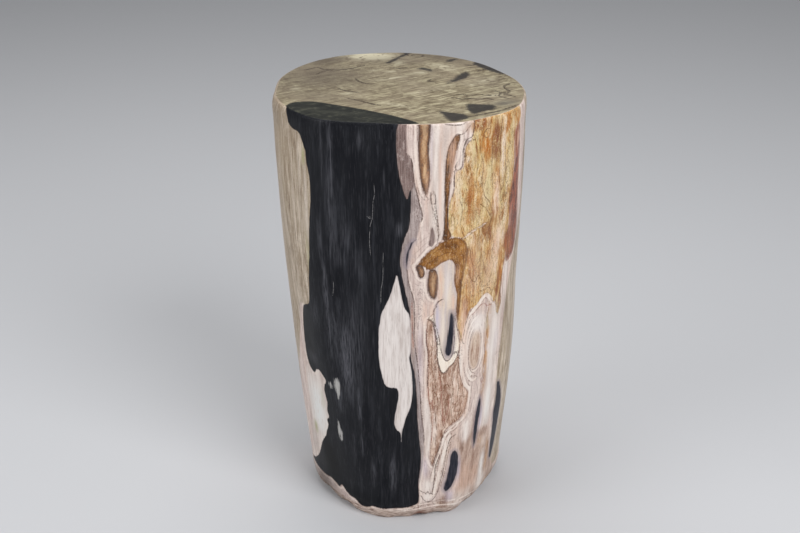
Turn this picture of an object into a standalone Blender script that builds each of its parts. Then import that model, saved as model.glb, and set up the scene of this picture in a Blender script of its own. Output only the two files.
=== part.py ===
"""A petrified wood stool: one polished length of a fossil log, standing on end.

Metres, +Z up, the front towards -Y. The origin is on the floor, at the middle of the log's box.
"""

import math

import bpy

# Driving sizes
HEIGHT = 0.450
SEAT_EDGE = 0.0028  # radius of the polished edge round the seat
FOOT_BEVEL_HEIGHT = 0.014
FOOT_BEVEL_DEPTH = 0.0055
FOOT_BEVEL_CURVE = 1.6
BLANK_RADIUS = 0.130  # of the turned blank that the log is shaped from

# How finely the log is faceted
SEGMENTS = 120
WALL_RINGS = 18
EDGE_RINGS = 4
BEVEL_HEIGHTS = (0.010, 0.006, 0.003, 0.0)

# The log's outline at its two ends: degrees from the front, turning towards +X, and radius in millimetres
SEAT_OUTLINE = (
    (0, 125.5), (15, 130), (30, 135.5), (60, 136), (75, 131.2), (90, 127), (110, 122), (130, 120.5),
    (155, 124), (180, 127), (210, 129.5), (240, 130), (270, 127.3), (288, 129.8), (308, 132.9), (323, 135.5),
    (336, 129.5), (348, 125),
)
FOOT_OUTLINE = (
    (0, 108.5), (15, 106), (28, 109.5), (45, 102.6), (60, 99.4), (75, 100.4), (92, 104.6), (120, 103),
    (150, 106), (180, 108), (210, 107), (240, 105), (270, 103.6), (290, 102.3), (305, 101.6), (320, 104.4),
    (335, 110), (349, 112.8),
)
# The trunk leans a little: the middle of the outline at the foot, seen from the middle at the seat
FOOT_LEAN = (0.0075, -0.006)

# Broad bulges of the trunk: degrees from the front, half width in degrees, height, half height, and depth
BULGES = ((68, 62, 0.145, 0.130, 0.0054), (68, 62, 0.300, 0.200, 0.0014), (-68, 62, 0.200, 0.150, -0.0009))

# Low swells that run up the trunk: how many go round it, how far they wind on the way up, and their depth
SWELLS = ((5, 1.3, 0.0006), (9, -1.1, 0.0004), (14, 2.2, 0.00025))

# Chips out of the foot's edge: degrees from the front, half width in degrees, depth and height
FOOT_CHIPS = (
    (8, 4.5, 0.0050, 0.006), (18, 5, 0.0038, 0.005), (355, 3.5, 0.0018, 0.004), (321, 6, 0.0028, 0.010),
    (300, 8, 0.0020, 0.013), (39, 7, 0.0022, 0.008), (62, 6, 0.0030, 0.007), (84, 9, 0.0024, 0.012),
    (109, 5, 0.0034, 0.006), (133, 8, 0.0026, 0.010), (158, 5, 0.0020, 0.006), (176, 7, 0.0032, 0.008),
    (203, 6, 0.0022, 0.012), (226, 8, 0.0030, 0.007), (249, 5, 0.0020, 0.005), (271, 7, 0.0028, 0.009),
)

STONE_COLOUR = (0.32, 0.26, 0.20, 1.0)
STONE_ROUGHNESS = 0.34
SHARP_ANGLE = math.radians(50)
AXIS_REACH = 1e-4  # a point this near the blank's axis is the middle of an end face


def clear_scene():
    for thing in list(bpy.data.objects):
        bpy.data.objects.remove(thing, do_unlink=True)


def outline_radius(outline, degrees):
    """Radius in metres where a smooth closed curve through the outline's points stands at this bearing."""
    count = len(outline)
    degrees %= 360
    start = max(i for i in range(count) if outline[i][0] <= degrees)
    knots = []
    for step in (-1, 0, 1, 2):
        turns, index = divmod(start + step, count)
        knots.append((outline[index][0] + 360 * turns, outline[index][1]))
    (a0, r0), (a1, r1), (a2, r2), (a3, r3) = knots
    slope_1 = (r2 - r0) / (a2 - a0)
    slope_2 = (r3 - r1) / (a3 - a1)
    span = a2 - a1
    t = (degrees - a1) / span
    millimetres = (
        r1 * (2 * t**3 - 3 * t**2 + 1)
        + slope_1 * span * (t**3 - 2 * t**2 + t)
        + r2 * (3 * t**2 - 2 * t**3)
        + slope_2 * span * (t**3 - t**2)
    )
    return millimetres / 1000


def flare(height):
    """0 at the foot, 1 at the seat: the trunk widens quickly above the foot, then runs nearly straight."""
    return math.sin(math.pi / 2 * height / HEIGHT)


def swell(degrees, height):
    around = math.radians(degrees)
    turn = math.tau * height / HEIGHT
    return sum(depth * math.sin(count * around + wind * turn) for count, wind, depth in SWELLS)


def turned_away(degrees, middle):
    """Degrees between two bearings, from -180 to 180."""
    return (degrees - middle + 180) % 360 - 180


def bulge(degrees, height):
    """How far the broad bulges stand out here. Each fades smoothly to nothing at its own edge."""
    out = 0.0
    for middle, half_width, level, half_height, depth in BULGES:
        across = turned_away(degrees, middle) / half_width
        up = (height - level) / half_height
        if abs(across) < 1 and abs(up) < 1:
            out += depth * (1 - across**2) ** 2 * (1 - up**2) ** 2
    return out


def chip_depth(degrees, height):
    """How far the chips bite in here: deepest at the floor, gone at each chip's own height."""
    bite = 0.0
    for middle, half_width, depth, reach in FOOT_CHIPS:
        off = abs(turned_away(degrees, middle)) / half_width
        if off < 1 and height < reach:
            bite += depth * (1 - off**2) * (1 - height / reach)
    return bite


def wall_radius(degrees, height):
    share = flare(height)
    foot = outline_radius(FOOT_OUTLINE, degrees)
    seat = outline_radius(SEAT_OUTLINE, degrees)
    form = (1 - share) * foot + share * seat + bulge(degrees, height)
    return form + swell(degrees, height) - chip_depth(degrees, height)


def blank_profile():
    """Half the turned blank, from the middle of the seat, down its outer side, to the middle of the foot."""
    points = [(0.0, HEIGHT)]
    for i in range(EDGE_RINGS + 1):
        turn = math.pi / 2 * i / EDGE_RINGS
        inset = SEAT_EDGE * (1 - math.sin(turn))
        points.append((BLANK_RADIUS - inset, HEIGHT - SEAT_EDGE * (1 - math.cos(turn))))
    top = HEIGHT - SEAT_EDGE
    for i in range(1, WALL_RINGS + 1):
        points.append((BLANK_RADIUS, top + (FOOT_BEVEL_HEIGHT - top) * i / WALL_RINGS))
    for height in BEVEL_HEIGHTS:
        inset = FOOT_BEVEL_DEPTH * (1 - height / FOOT_BEVEL_HEIGHT) ** FOOT_BEVEL_CURVE
        points.append((BLANK_RADIUS - inset, height))
    points.append((0.0, 0.0))
    return points


def turned_blank():
    """The mesh that the profile makes when it is turned once about the upright axis."""
    points = [(x, 0.0, z) for x, z in blank_profile()]
    edges = [(i, i + 1) for i in range(len(points) - 1)]
    profile_mesh = bpy.data.meshes.new("log_profile")
    profile_mesh.from_pydata(points, edges, [])
    profile = bpy.data.objects.new("log_profile", profile_mesh)
    bpy.context.scene.collection.objects.link(profile)
    screw = profile.modifiers.new("turn", "SCREW")
    screw.axis = "Z"
    screw.angle = math.tau
    screw.steps = SEGMENTS
    screw.render_steps = SEGMENTS
    screw.use_merge_vertices = True
    screw.merge_threshold = AXIS_REACH
    graph = bpy.context.evaluated_depsgraph_get()
    blank = bpy.data.meshes.new_from_object(profile.evaluated_get(graph))
    bpy.data.objects.remove(profile, do_unlink=True)
    bpy.data.meshes.remove(profile_mesh)
    return blank


def shape_trunk(mesh):
    """Moves each point of the blank out or in to the log's own outline at its height."""
    for vertex in mesh.vertices:
        x, y, height = vertex.co
        lean = 1 - flare(height)
        middle_x, middle_y = FOOT_LEAN[0] * lean, FOOT_LEAN[1] * lean
        blank_radius = math.hypot(x, y)
        if blank_radius < AXIS_REACH:
            vertex.co = (middle_x, middle_y, height)
            continue
        around = math.atan2(x, -y)
        radius = blank_radius - BLANK_RADIUS + wall_radius(math.degrees(around), height)
        vertex.co.x = middle_x + radius * math.sin(around)
        vertex.co.y = middle_y - radius * math.cos(around)


def stand_on_origin(mesh):
    """Slides the mesh so that its box is centred over the origin."""
    for axis in (0, 1):
        values = [vertex.co[axis] for vertex in mesh.vertices]
        middle = (min(values) + max(values)) / 2
        for vertex in mesh.vertices:
            vertex.co[axis] -= middle


def stone_material():
    material = bpy.data.materials.new("petrified_wood")
    material.use_nodes = True
    shader = material.node_tree.nodes["Principled BSDF"]
    shader.inputs["Base Color"].default_value = STONE_COLOUR
    shader.inputs["Roughness"].default_value = STONE_ROUGHNESS
    shader.inputs["Metallic"].default_value = 0.0
    material.diffuse_color = STONE_COLOUR
    return material


def make_log(collection):
    mesh = turned_blank()
    mesh.name = "petrified_log"
    shape_trunk(mesh)
    stand_on_origin(mesh)
    mesh.materials.append(stone_material())
    mesh.shade_smooth()
    mesh.set_sharp_from_angle(angle=SHARP_ANGLE)
    log = bpy.data.objects.new("petrified_log", mesh)
    collection.objects.link(log)
    return log


def main():
    clear_scene()
    stool = bpy.data.collections.new("petrified_wood_stool")
    bpy.context.scene.collection.children.link(stool)
    make_log(stool)


main()
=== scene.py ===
"""The looks of a petrified wood stool, laid out as an add-on and run as a script.

The log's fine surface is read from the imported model, and its markings are drawn from outlines. On the side,
an outline's points are (degrees from the front towards +X, millimetres up). On the seat they are millimetres
(to the right, to the back) from the seat's middle.
"""

import math

import bpy
import numpy as np
from bpy.props import FloatProperty, FloatVectorProperty, IntProperty, PointerProperty
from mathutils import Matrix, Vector, noise


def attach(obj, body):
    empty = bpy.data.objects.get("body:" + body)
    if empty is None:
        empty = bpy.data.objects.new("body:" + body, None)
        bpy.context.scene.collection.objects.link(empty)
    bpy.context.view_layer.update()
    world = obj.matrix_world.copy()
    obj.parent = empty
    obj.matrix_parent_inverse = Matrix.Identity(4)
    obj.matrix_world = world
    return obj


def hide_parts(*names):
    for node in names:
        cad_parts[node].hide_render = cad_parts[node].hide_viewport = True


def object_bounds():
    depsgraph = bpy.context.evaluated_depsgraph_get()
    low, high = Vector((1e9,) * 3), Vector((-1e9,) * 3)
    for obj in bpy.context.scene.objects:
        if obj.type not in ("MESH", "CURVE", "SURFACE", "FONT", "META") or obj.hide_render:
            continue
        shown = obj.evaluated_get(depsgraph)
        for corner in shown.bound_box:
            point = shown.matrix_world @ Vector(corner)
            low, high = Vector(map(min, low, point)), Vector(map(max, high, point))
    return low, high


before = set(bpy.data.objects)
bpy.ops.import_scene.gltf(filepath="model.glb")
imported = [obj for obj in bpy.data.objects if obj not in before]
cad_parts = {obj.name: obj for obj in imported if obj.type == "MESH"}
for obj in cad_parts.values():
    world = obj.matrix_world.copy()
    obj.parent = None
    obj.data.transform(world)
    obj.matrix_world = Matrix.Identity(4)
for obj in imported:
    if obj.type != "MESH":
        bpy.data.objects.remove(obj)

cad_low, cad_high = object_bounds()

bl_info = {
    "name": "Petrified Wood Stool",
    "version": (1, 0, 0),
    "blender": (4, 5, 0),
    "location": "View3D > Sidebar > Stool",
    "description": "Builds the surface of a petrified wood stool round its packed model, and a studio",
    "category": "Object",
}

NODE = "petrified_log"

HEIGHT = cad_high.z
SEAT_EDGE = 0.0028  # radius of the polished edge round the seat
SEAT_MIDDLE = (-0.00121, 0.00024)  # where the trunk's own middle line meets the seat and the floor
FOOT_MIDDLE = (0.00629, -0.00576)
WORN_RIM = (-96, 42, 0.014, 0.0022)  # the seat's worn left edge: bearing, half width, height and depth
PITH = (24.0, 56.0)  # the middle of the growth rings on the seat, in millimetres from the seat's middle
RING_CIRCLE = 0.055  # the growth rings' pattern is read round a circle of this radius, in metres
FLECK_ANGLE = math.radians(-31)  # the slant of the seat's flecks
FLECK_STRETCH = (0.14, 1.0, 1.0)  # draws them out along that slant

# The surface's rows and columns
BEARINGS = 360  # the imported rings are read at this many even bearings
FRONT_REACH = 72  # degrees either way that have close columns
FOOT_TOP = 0.016  # the rows are closest below this height
FOOT_ROWS = 11
EDGE_ROWS = 5
WALL_LEAST = 0.05  # a packed point nearer the middle line than this is the middle of an end
SAME_RING = 2e-5

BEVEL_TOP = 0.02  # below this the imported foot's rings are close, and are read straight from one to the next

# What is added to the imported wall, in metres
UNEVENNESS = 0.00018  # how far the faint unevenness goes in and out
BREAK_TOP = 0.015  # the broken stone of the foot ends at this height

# The texture map: the side as a strip, and the seat and the underside as discs
STRIP_EDGE = 0.004
STRIP_SIZE = (0.98901, 0.54)
SEAT_DISC = (0.235, 0.775)
FOOT_DISC = (0.72, 0.775)
DISC_SCALE = 0.50 / 0.30

MM = 1000.0  # millimetres in a metre
MM_PER_DEGREE = 2.15  # along the wall, at the trunk's mean radius
REACH = 40.0  # a distance to an outline is kept up to this many millimetres
CURVE_STEPS = 5  # points put between two of an outline's own

# The outlines were traced on a plainer trunk. Where the log is wider or narrower than that, its marks are
# turned, so that they still look the same from the front: bearing, half width, height, half height, and
# share of the radius
TRACED_ON = ((64, 50, 155, 170, 0.058), (-62, 34, 190, 420, -0.012), (-56, 30, 190, 150, -0.015))
TRACED_EDGE = 66  # degrees from the front to the edge of what the photo shows


def colour(red, green, blue):
    """A linear colour from the 0 to 255 values that a colour picker shows."""
    values = []
    for shown in (red, green, blue):
        part = shown / 255
        values.append(part / 12.92 if part <= 0.04045 else ((part + 0.055) / 1.055) ** 2.4)
    return tuple(values)


# Outlines on the side. Those past 64 degrees either way are the hidden sides, in the manner of the front.
SIDE_SHAPES = {
    "black": (
        ((-57, 464), (-56, 450), (-54.4, 443), (-53.3, 436), (-50, 432), (-46, 431), (-43.8, 423),
         (-42, 414), (-41.3, 402), (-40, 388), (-39.8, 368), (-41, 347), (-42, 326), (-43, 304),
         (-44.6, 281), (-45.8, 257), (-47, 244.5), (-50, 240.5), (-52.5, 236), (-54.4, 224), (-55.9, 204),
         (-56.5, 186), (-55.8, 170), (-53.5, 161), (-50.5, 158.5), (-48, 164.5), (-45.5, 166),
         (-42.6, 161.5), (-41.2, 157), (-43, 150), (-43.6, 142), (-42.7, 130), (-43.6, 117), (-42.9, 110.5),
         (-45, 106), (-44.6, 100), (-46.5, 91), (-48.6, 82), (-52, 73), (-54.6, 64), (-58, 52), (-62, 43),
         (-67, 36), (-74, 31), (-67, 28), (-60, 26.5), (-54, 26), (-49, 27.5), (-44, 25), (-41.6, 23),
         (-39.2, 27.5), (-36.5, 23.5), (-33, 19), (-29, 17.5), (-25.5, 12.3), (-21, 12.8), (-18.3, 15.5),
         (-13, 14.5), (-6, 15.5), (0, 15.5), (4, 17.5), (7.2, 21), (8, 31), (7.6, 45), (8.3, 58), (9.3, 76),
         (9.1, 90), (8.3, 106), (7.7, 128), (7.5, 150), (7.1, 165), (6.6, 180), (5.4, 193), (4.5, 206),
         (4.2, 222), (4.3, 240), (4.7, 249), (3.6, 264), (2.1, 281), (1, 295), (0.4, 309), (1, 320),
         (2.4, 333), (4.4, 344), (5.2, 360), (5.4, 376), (5.3, 386), (4.6, 381), (3.6, 374.5), (2.2, 382.5),
         (0.9, 393), (-0.2, 407), (-0.8, 425), (-0.9, 440), (-0.5, 464)),
        ((158, 464), (160, 430), (157, 400), (160, 360), (166, 325), (168, 290), (173, 250), (178, 214),
         (180, 170), (184, 130), (186, 90), (189, 60), (192, 38), (196, 60), (195, 100), (193, 140),
         (195, 180), (192, 216), (193, 258), (195, 300), (200, 335), (204, 375), (202, 415), (206, 464)),
        ((226, 26), (223, 62), (227, 100), (229, 140), (234, 180), (238, 206), (240, 170), (243, 130),
         (242, 96), (247, 64), (252, 34), (240, 22)),
    ),
    "island": (
        ((-1.2, 293.5), (-0.5, 286.5), (0.7, 270), (2.2, 256.5), (3.9, 250), (4.6, 240), (4.8, 222),
         (4.5, 207), (4, 200), (4.6, 189), (5.2, 176), (5.2, 155), (4, 141), (1.9, 129.5), (0, 117),
         (-0.7, 111), (-1.1, 99), (-1.5, 111.5), (-2.8, 113.5), (-4.1, 120), (-4.1, 128), (-3.1, 139),
         (-2.1, 150), (-1.8, 160), (-2.8, 164.5), (-5.5, 165.3), (-7.8, 168), (-9.6, 180), (-10.6, 196),
         (-10.7, 216), (-10, 238), (-8.6, 251.5), (-6, 263), (-3.7, 276), (-2.2, 288)),
        ((178, 330), (176, 300), (178, 268), (181, 240), (183.5, 268), (183, 300), (181, 326)),
    ),
    "smudge": (
        ((-38.2, 160), (-37.2, 156), (-37.6, 151), (-38.6, 149.5), (-39.1, 154)),
        ((-34.5, 167), (-33, 166), (-32.2, 159), (-32.6, 149), (-33.6, 141), (-34.5, 146), (-35.5, 156)),
        ((-36, 114), (-35.1, 109), (-34.2, 103), (-33.8, 96), (-34.4, 89), (-35.5, 87.5), (-36.4, 92),
         (-36.8, 103)),
        ((191, 395), (193, 380), (192.5, 362), (190.5, 372)),
    ),
    "wedge": (
        ((-3, 464), (3.8, 464), (3.5, 445), (3.4, 428), (3.7, 420), (5.6, 415.5), (6.3, 406), (6.7, 396),
         (6.4, 388), (5.4, 383), (4.6, 374), (2, 374), (-2, 395), (-3, 425)),
        ((14.3, 346), (15.1, 342), (15.5, 334), (15.3, 327), (14.5, 324), (13.1, 326), (13.3, 332),
         (13.7, 339)),
    ),
    "ash": (
        ((2, 392), (6.6, 393), (7.4, 385), (8.4, 376), (9.6, 364), (10.2, 356), (9.2, 350), (8.6, 341),
         (7.3, 331.5), (4.8, 323), (3.4, 314), (3.2, 303), (4, 288), (5, 277), (6.5, 264), (6.7, 240),
         (6.8, 220), (7.6, 200), (8.5, 178), (9.3, 153), (9.6, 135), (10.6, 115), (11.1, 100), (11, 88),
         (10.5, 75), (9.5, 60), (8, 45), (4, 40), (0, 60), (0, 150), (0, 300), (0, 350)),
    ),
    "umber": (
        ((7.4, 303.5), (8.1, 297), (8.8, 291.5), (10, 289.5), (11.1, 291.5), (11.6, 296.5), (11, 301),
         (9.4, 304.5)),
        ((8.2, 464), (8.4, 446), (8.2, 432), (8.6, 415), (9, 400), (9.9, 388), (11.1, 380), (11.9, 378),
         (12.7, 384), (13.4, 395), (13.5, 404), (13, 414), (12.9, 426), (13.3, 440), (13.6, 464)),
        ((13.6, 299), (12.8, 291), (12.7, 281), (13.3, 273), (14.6, 267), (16.2, 266.5), (17.1, 273),
         (17.5, 283), (17.3, 293), (16, 299)),
        ((216, 464), (215, 430), (217, 396), (219.5, 380), (222, 398), (222.5, 430), (221, 464)),
    ),
    "band": (
        ((25.3, 438.5), (23.4, 437), (21.6, 429), (20.4, 418), (19.8, 404), (19.6, 380), (19.7, 356),
         (19.4, 338), (19, 330), (22.6, 333), (21.5, 345), (21.3, 365), (21.8, 385), (22.6, 400),
         (23.5, 412), (24.6, 424), (25.6, 434)),
    ),
    "tongue": (
        ((16.5, 301), (18.3, 305), (20.5, 307.5), (22.3, 308), (23.9, 305.5), (24.4, 296), (24.3, 284),
         (25.2, 276), (25.8, 268), (25.3, 258), (25, 246), (25.3, 232), (25.5, 220), (25, 208), (24.3, 200),
         (23.2, 196), (21.8, 194.5), (20.6, 197.5), (19.6, 205), (18.9, 214), (18, 225), (17, 234),
         (16, 242), (15.7, 250), (16.2, 257), (17.6, 263), (18.3, 268), (17.8, 280), (17.3, 292)),
    ),
    "hook": (
        ((7.7, 303), (9.3, 308), (11, 313.5), (13, 319), (15.5, 323.5), (18, 328), (20.5, 331), (24, 332.5),
         (27, 331), (29.3, 326), (30.4, 316), (29.8, 303), (28.6, 290), (27.8, 277), (27.5, 264),
         (27.2, 252), (26.7, 240), (26.2, 244), (25.8, 252), (25.8, 258), (25.9, 264), (25.5, 272),
         (24.7, 279), (24.4, 287), (24.5, 296), (24.4, 304), (23, 308.5), (20.5, 307.5), (18, 304.5),
         (16.3, 301), (14, 299), (12, 299.5), (11, 302), (9.6, 303.5)),
    ),
    "vee": (
        ((13.1, 243.5), (15, 241.5), (16, 235), (16.8, 224), (17.4, 212), (17.6, 200), (18.4, 189),
         (19.3, 182.5), (20.3, 180.3), (21.6, 181.5), (23, 187), (24.8, 190.5), (26, 195), (27.3, 202),
         (28, 212), (27.2, 222), (26.2, 234), (24, 250), (19, 252), (16, 250)),
    ),
    "gold": (
        ((33, 464), (32.3, 449), (31.6, 438), (30.8, 430.5), (29.2, 428.5), (28.3, 422), (27.8, 410),
         (27, 403), (25, 401.5), (24, 396), (23.7, 384), (22.6, 374), (21.5, 365), (21.3, 350), (21.6, 338),
         (24, 333), (27, 331), (27.5, 300), (26.6, 276), (26.4, 262), (26, 250), (26.6, 236), (27.7, 224),
         (28.8, 214), (29.7, 222), (30.4, 232), (31.4, 243), (33, 250.5), (35.5, 252), (38, 257),
         (40.5, 262), (42.5, 262.5), (44.5, 258.5), (46, 252.5), (47.6, 249.5), (49.3, 248.5), (50.3, 244),
         (51.2, 235.5), (52.6, 232.5), (54, 238), (54.8, 245), (53.6, 254), (53.6, 268), (53.8, 284),
         (55, 300), (55.5, 320), (55.5, 345), (56.3, 365), (56.8, 390), (56, 415), (57, 429), (60, 435),
         (60.6, 450), (60.2, 464)),
        ((102, 464), (100, 430), (103, 395), (100, 350), (104, 310), (102, 270), (106, 235), (109, 200),
         (112, 232), (115, 268), (119, 290), (124, 262), (127, 215), (129, 176), (131, 214), (134, 262),
         (136, 310), (133, 350), (137, 390), (135, 430), (138, 464)),
        ((203, 196), (199, 160), (197, 128), (200, 96), (199, 64), (203, 30), (208, 22), (210, 52),
         (212, 88), (209, 120), (211, 152), (207, 178)),
    ),
    "red": (
        ((55.6, 424), (56.6, 408), (56.9, 382), (54.8, 366), (54.4, 350), (55.5, 336), (54.8, 325),
         (52.4, 318), (52.6, 306), (54.5, 298), (56.3, 289.5), (58, 287), (60, 288), (63.5, 293), (65, 312),
         (64, 340), (62.6, 365), (61.8, 390), (61.2, 416), (60.4, 430), (58.2, 433)),
        ((133, 464), (131, 420), (134, 380), (130, 330), (132, 280), (130, 230), (134, 262), (138, 300),
         (136.5, 350), (139, 400), (136.5, 464)),
    ),
    "tan": (
        ((13, 243), (14.6, 241.5), (15.8, 235), (16.7, 225), (17.3, 213), (17.5, 200), (18.2, 190),
         (19.2, 182.5), (20.3, 180), (21.8, 181), (23, 187), (24.8, 190.5), (25.5, 196), (27, 199),
         (28.8, 196), (28.6, 186), (29.3, 176), (31, 165), (33, 158), (34.5, 150), (33.5, 140), (32, 128),
         (29, 121), (26, 118), (23, 112), (21, 104), (19.8, 94), (18, 84), (16.3, 72), (15.5, 67),
         (14.3, 72), (13.8, 82), (14.3, 95), (14.6, 110), (14.4, 125), (13.8, 140), (13, 152), (12.8, 165),
         (13, 180), (13.2, 195), (13, 207), (12.4, 217), (12.4, 230)),
        ((94, 262), (90, 224), (89, 180), (92, 136), (90, 96), (94, 60), (99, 84), (104, 120), (109, 158),
         (112, 196), (110, 232), (103, 256)),
        ((150, 330), (146, 300), (141, 262), (138, 220), (137, 170), (140, 128), (138, 90), (142, 54),
         (150, 26), (158, 20), (164, 44), (162, 84), (167, 124), (170, 168), (167, 206), (161, 236),
         (157, 270), (154, 304)),
    ),
    "sand": (
        ((29, 98), (34, 90), (38, 100), (41, 128), (45, 126), (45, 96), (50, 98), (56, 88), (62, 50),
         (76, 8), (66, -14), (26, -14), (17, 4), (20, 24), (29, 30), (32, 60)),
    ),
    "nest": (
        ((38, 227), (36, 224.5), (34.3, 216), (33.3, 205), (33.2, 194), (34.2, 184), (36, 179),
         (38.2, 179.5), (40, 186), (40.8, 197), (40.8, 209), (39.8, 221)),
        ((120, 186), (115, 170), (112, 140), (115, 104), (113, 72), (119, 44), (125, 66), (128, 100),
         (126, 136), (129, 162), (125, 182)),
        ((216, 344), (209, 322), (205, 286), (207, 250), (204, 214), (208, 180), (213, 164), (216, 196),
         (221, 228), (223, 262), (227, 296), (224, 328)),
    ),
    "white": (
        ((13.8, 464), (13.9, 440), (13.5, 420), (14, 400), (14, 385), (13, 375), (12, 366), (12.5, 352),
         (13, 343), (16, 330), (18.8, 333), (19.2, 350), (19.2, 380), (19.6, 405), (20.3, 420), (22, 432),
         (24, 440), (30, 446), (31, 464)),
        ((46.3, 247), (50, 243), (53, 232), (56, 250), (56, 280), (58, 286), (60, 282), (59, 260),
         (56.5, 235), (55, 200), (55, 170), (56, 140), (55.5, 115), (54, 100), (51, 97), (47, 100),
         (45.5, 108), (46.5, 125), (46.8, 150), (46.4, 180), (46.2, 210)),
        ((-56, 160), (-50, 157), (-46, 168), (-40, 158), (-41, 140), (-42, 112), (-45, 92), (-51, 70),
         (-56, 53), (-61, 42), (-67, 34), (-70, 42), (-66, 60), (-62, 80), (-60, 105), (-60, 140),
         (-59, 158)),
        ((50, 60), (49.5, 45), (49.5, 28), (52, 18), (56, 20), (58.5, 32), (57, 48), (54, 60)),
        ((9.8, 152), (13, 150), (14.3, 128), (14.5, 105), (13.8, 88), (12.2, 82), (11.4, 96), (11, 112),
         (10, 132)),
        ((142, 464), (144, 420), (142, 370), (145, 320), (150, 300), (155, 330), (154, 380), (157, 464)),
    ),
    "beige": (
        ((-41, 470), (-38, 420), (-37, 380), (-40, 330), (-43, 280), (-46, 243), (-56, 236), (-60, 205),
         (-70, 160), (-76, 149), (-79, 124), (-88, 110), (-91, 84), (-101, 70), (-108, 42), (-122, 34),
         (-127, 120), (-121, 250), (-126, 350), (-121, 470)),
        ((72, 470), (71, 400), (70, 340), (66, 300), (61, 256), (58.5, 210), (57.5, 180), (58.5, 120),
         (63, 60), (72, 22), (84, 30), (89, 120), (84, 220), (90, 330), (86, 470)),
        ((214, 150), (211, 118), (213, 80), (212, 40), (217, 14), (222, 40), (221, 84), (224, 120),
         (220, 146)),
    ),
    "lens": (
        ((43.2, 141), (42.4, 135), (41.5, 126), (41, 116), (40.8, 104), (41, 92), (41.6, 82), (42.2, 77),
         (42.9, 80), (43.4, 88), (43.7, 100), (44.1, 112), (44.4, 122), (44.2, 132), (43.8, 139)),
        ((59.3, 147), (59.8, 134), (60, 120), (59.2, 108), (59.9, 97), (60.8, 84), (61.4, 70), (62.3, 56),
         (64, 42), (67, 38), (69, 52), (69, 75), (68, 100), (67, 120), (64, 136), (61, 146)),
        ((26.8, 83), (25.6, 79), (25, 70), (24.3, 60), (23.4, 50), (22.4, 41), (21.9, 35), (22.8, 32),
         (24.6, 33.5), (26.6, 38.5), (28.4, 46), (29.8, 55), (30.2, 65), (29.8, 75), (28.4, 81.5)),
        ((23.6, 251.5), (22.9, 243), (22.4, 231), (21.9, 220), (21.3, 210), (21.4, 203), (22.6, 200.5),
         (23.9, 203), (24.5, 213), (24.7, 226), (24.7, 240), (24.3, 249)),
        ((6.6, 331), (5.1, 327), (3.8, 320), (3.1, 311), (3.3, 303), (3.9, 311), (4.5, 319), (5.6, 325.5)),
        ((96, 96), (94.5, 80), (95, 60), (97.5, 44), (100, 56), (100.5, 76), (98.5, 94)),
        ((151, 180), (148.6, 150), (149.5, 120), (153, 96), (152.8, 124), (153.2, 150), (152.6, 172)),
        ((237, 330), (235.5, 306), (236, 280), (238, 262), (239.8, 284), (239.5, 310)),
    ),
}

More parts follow.
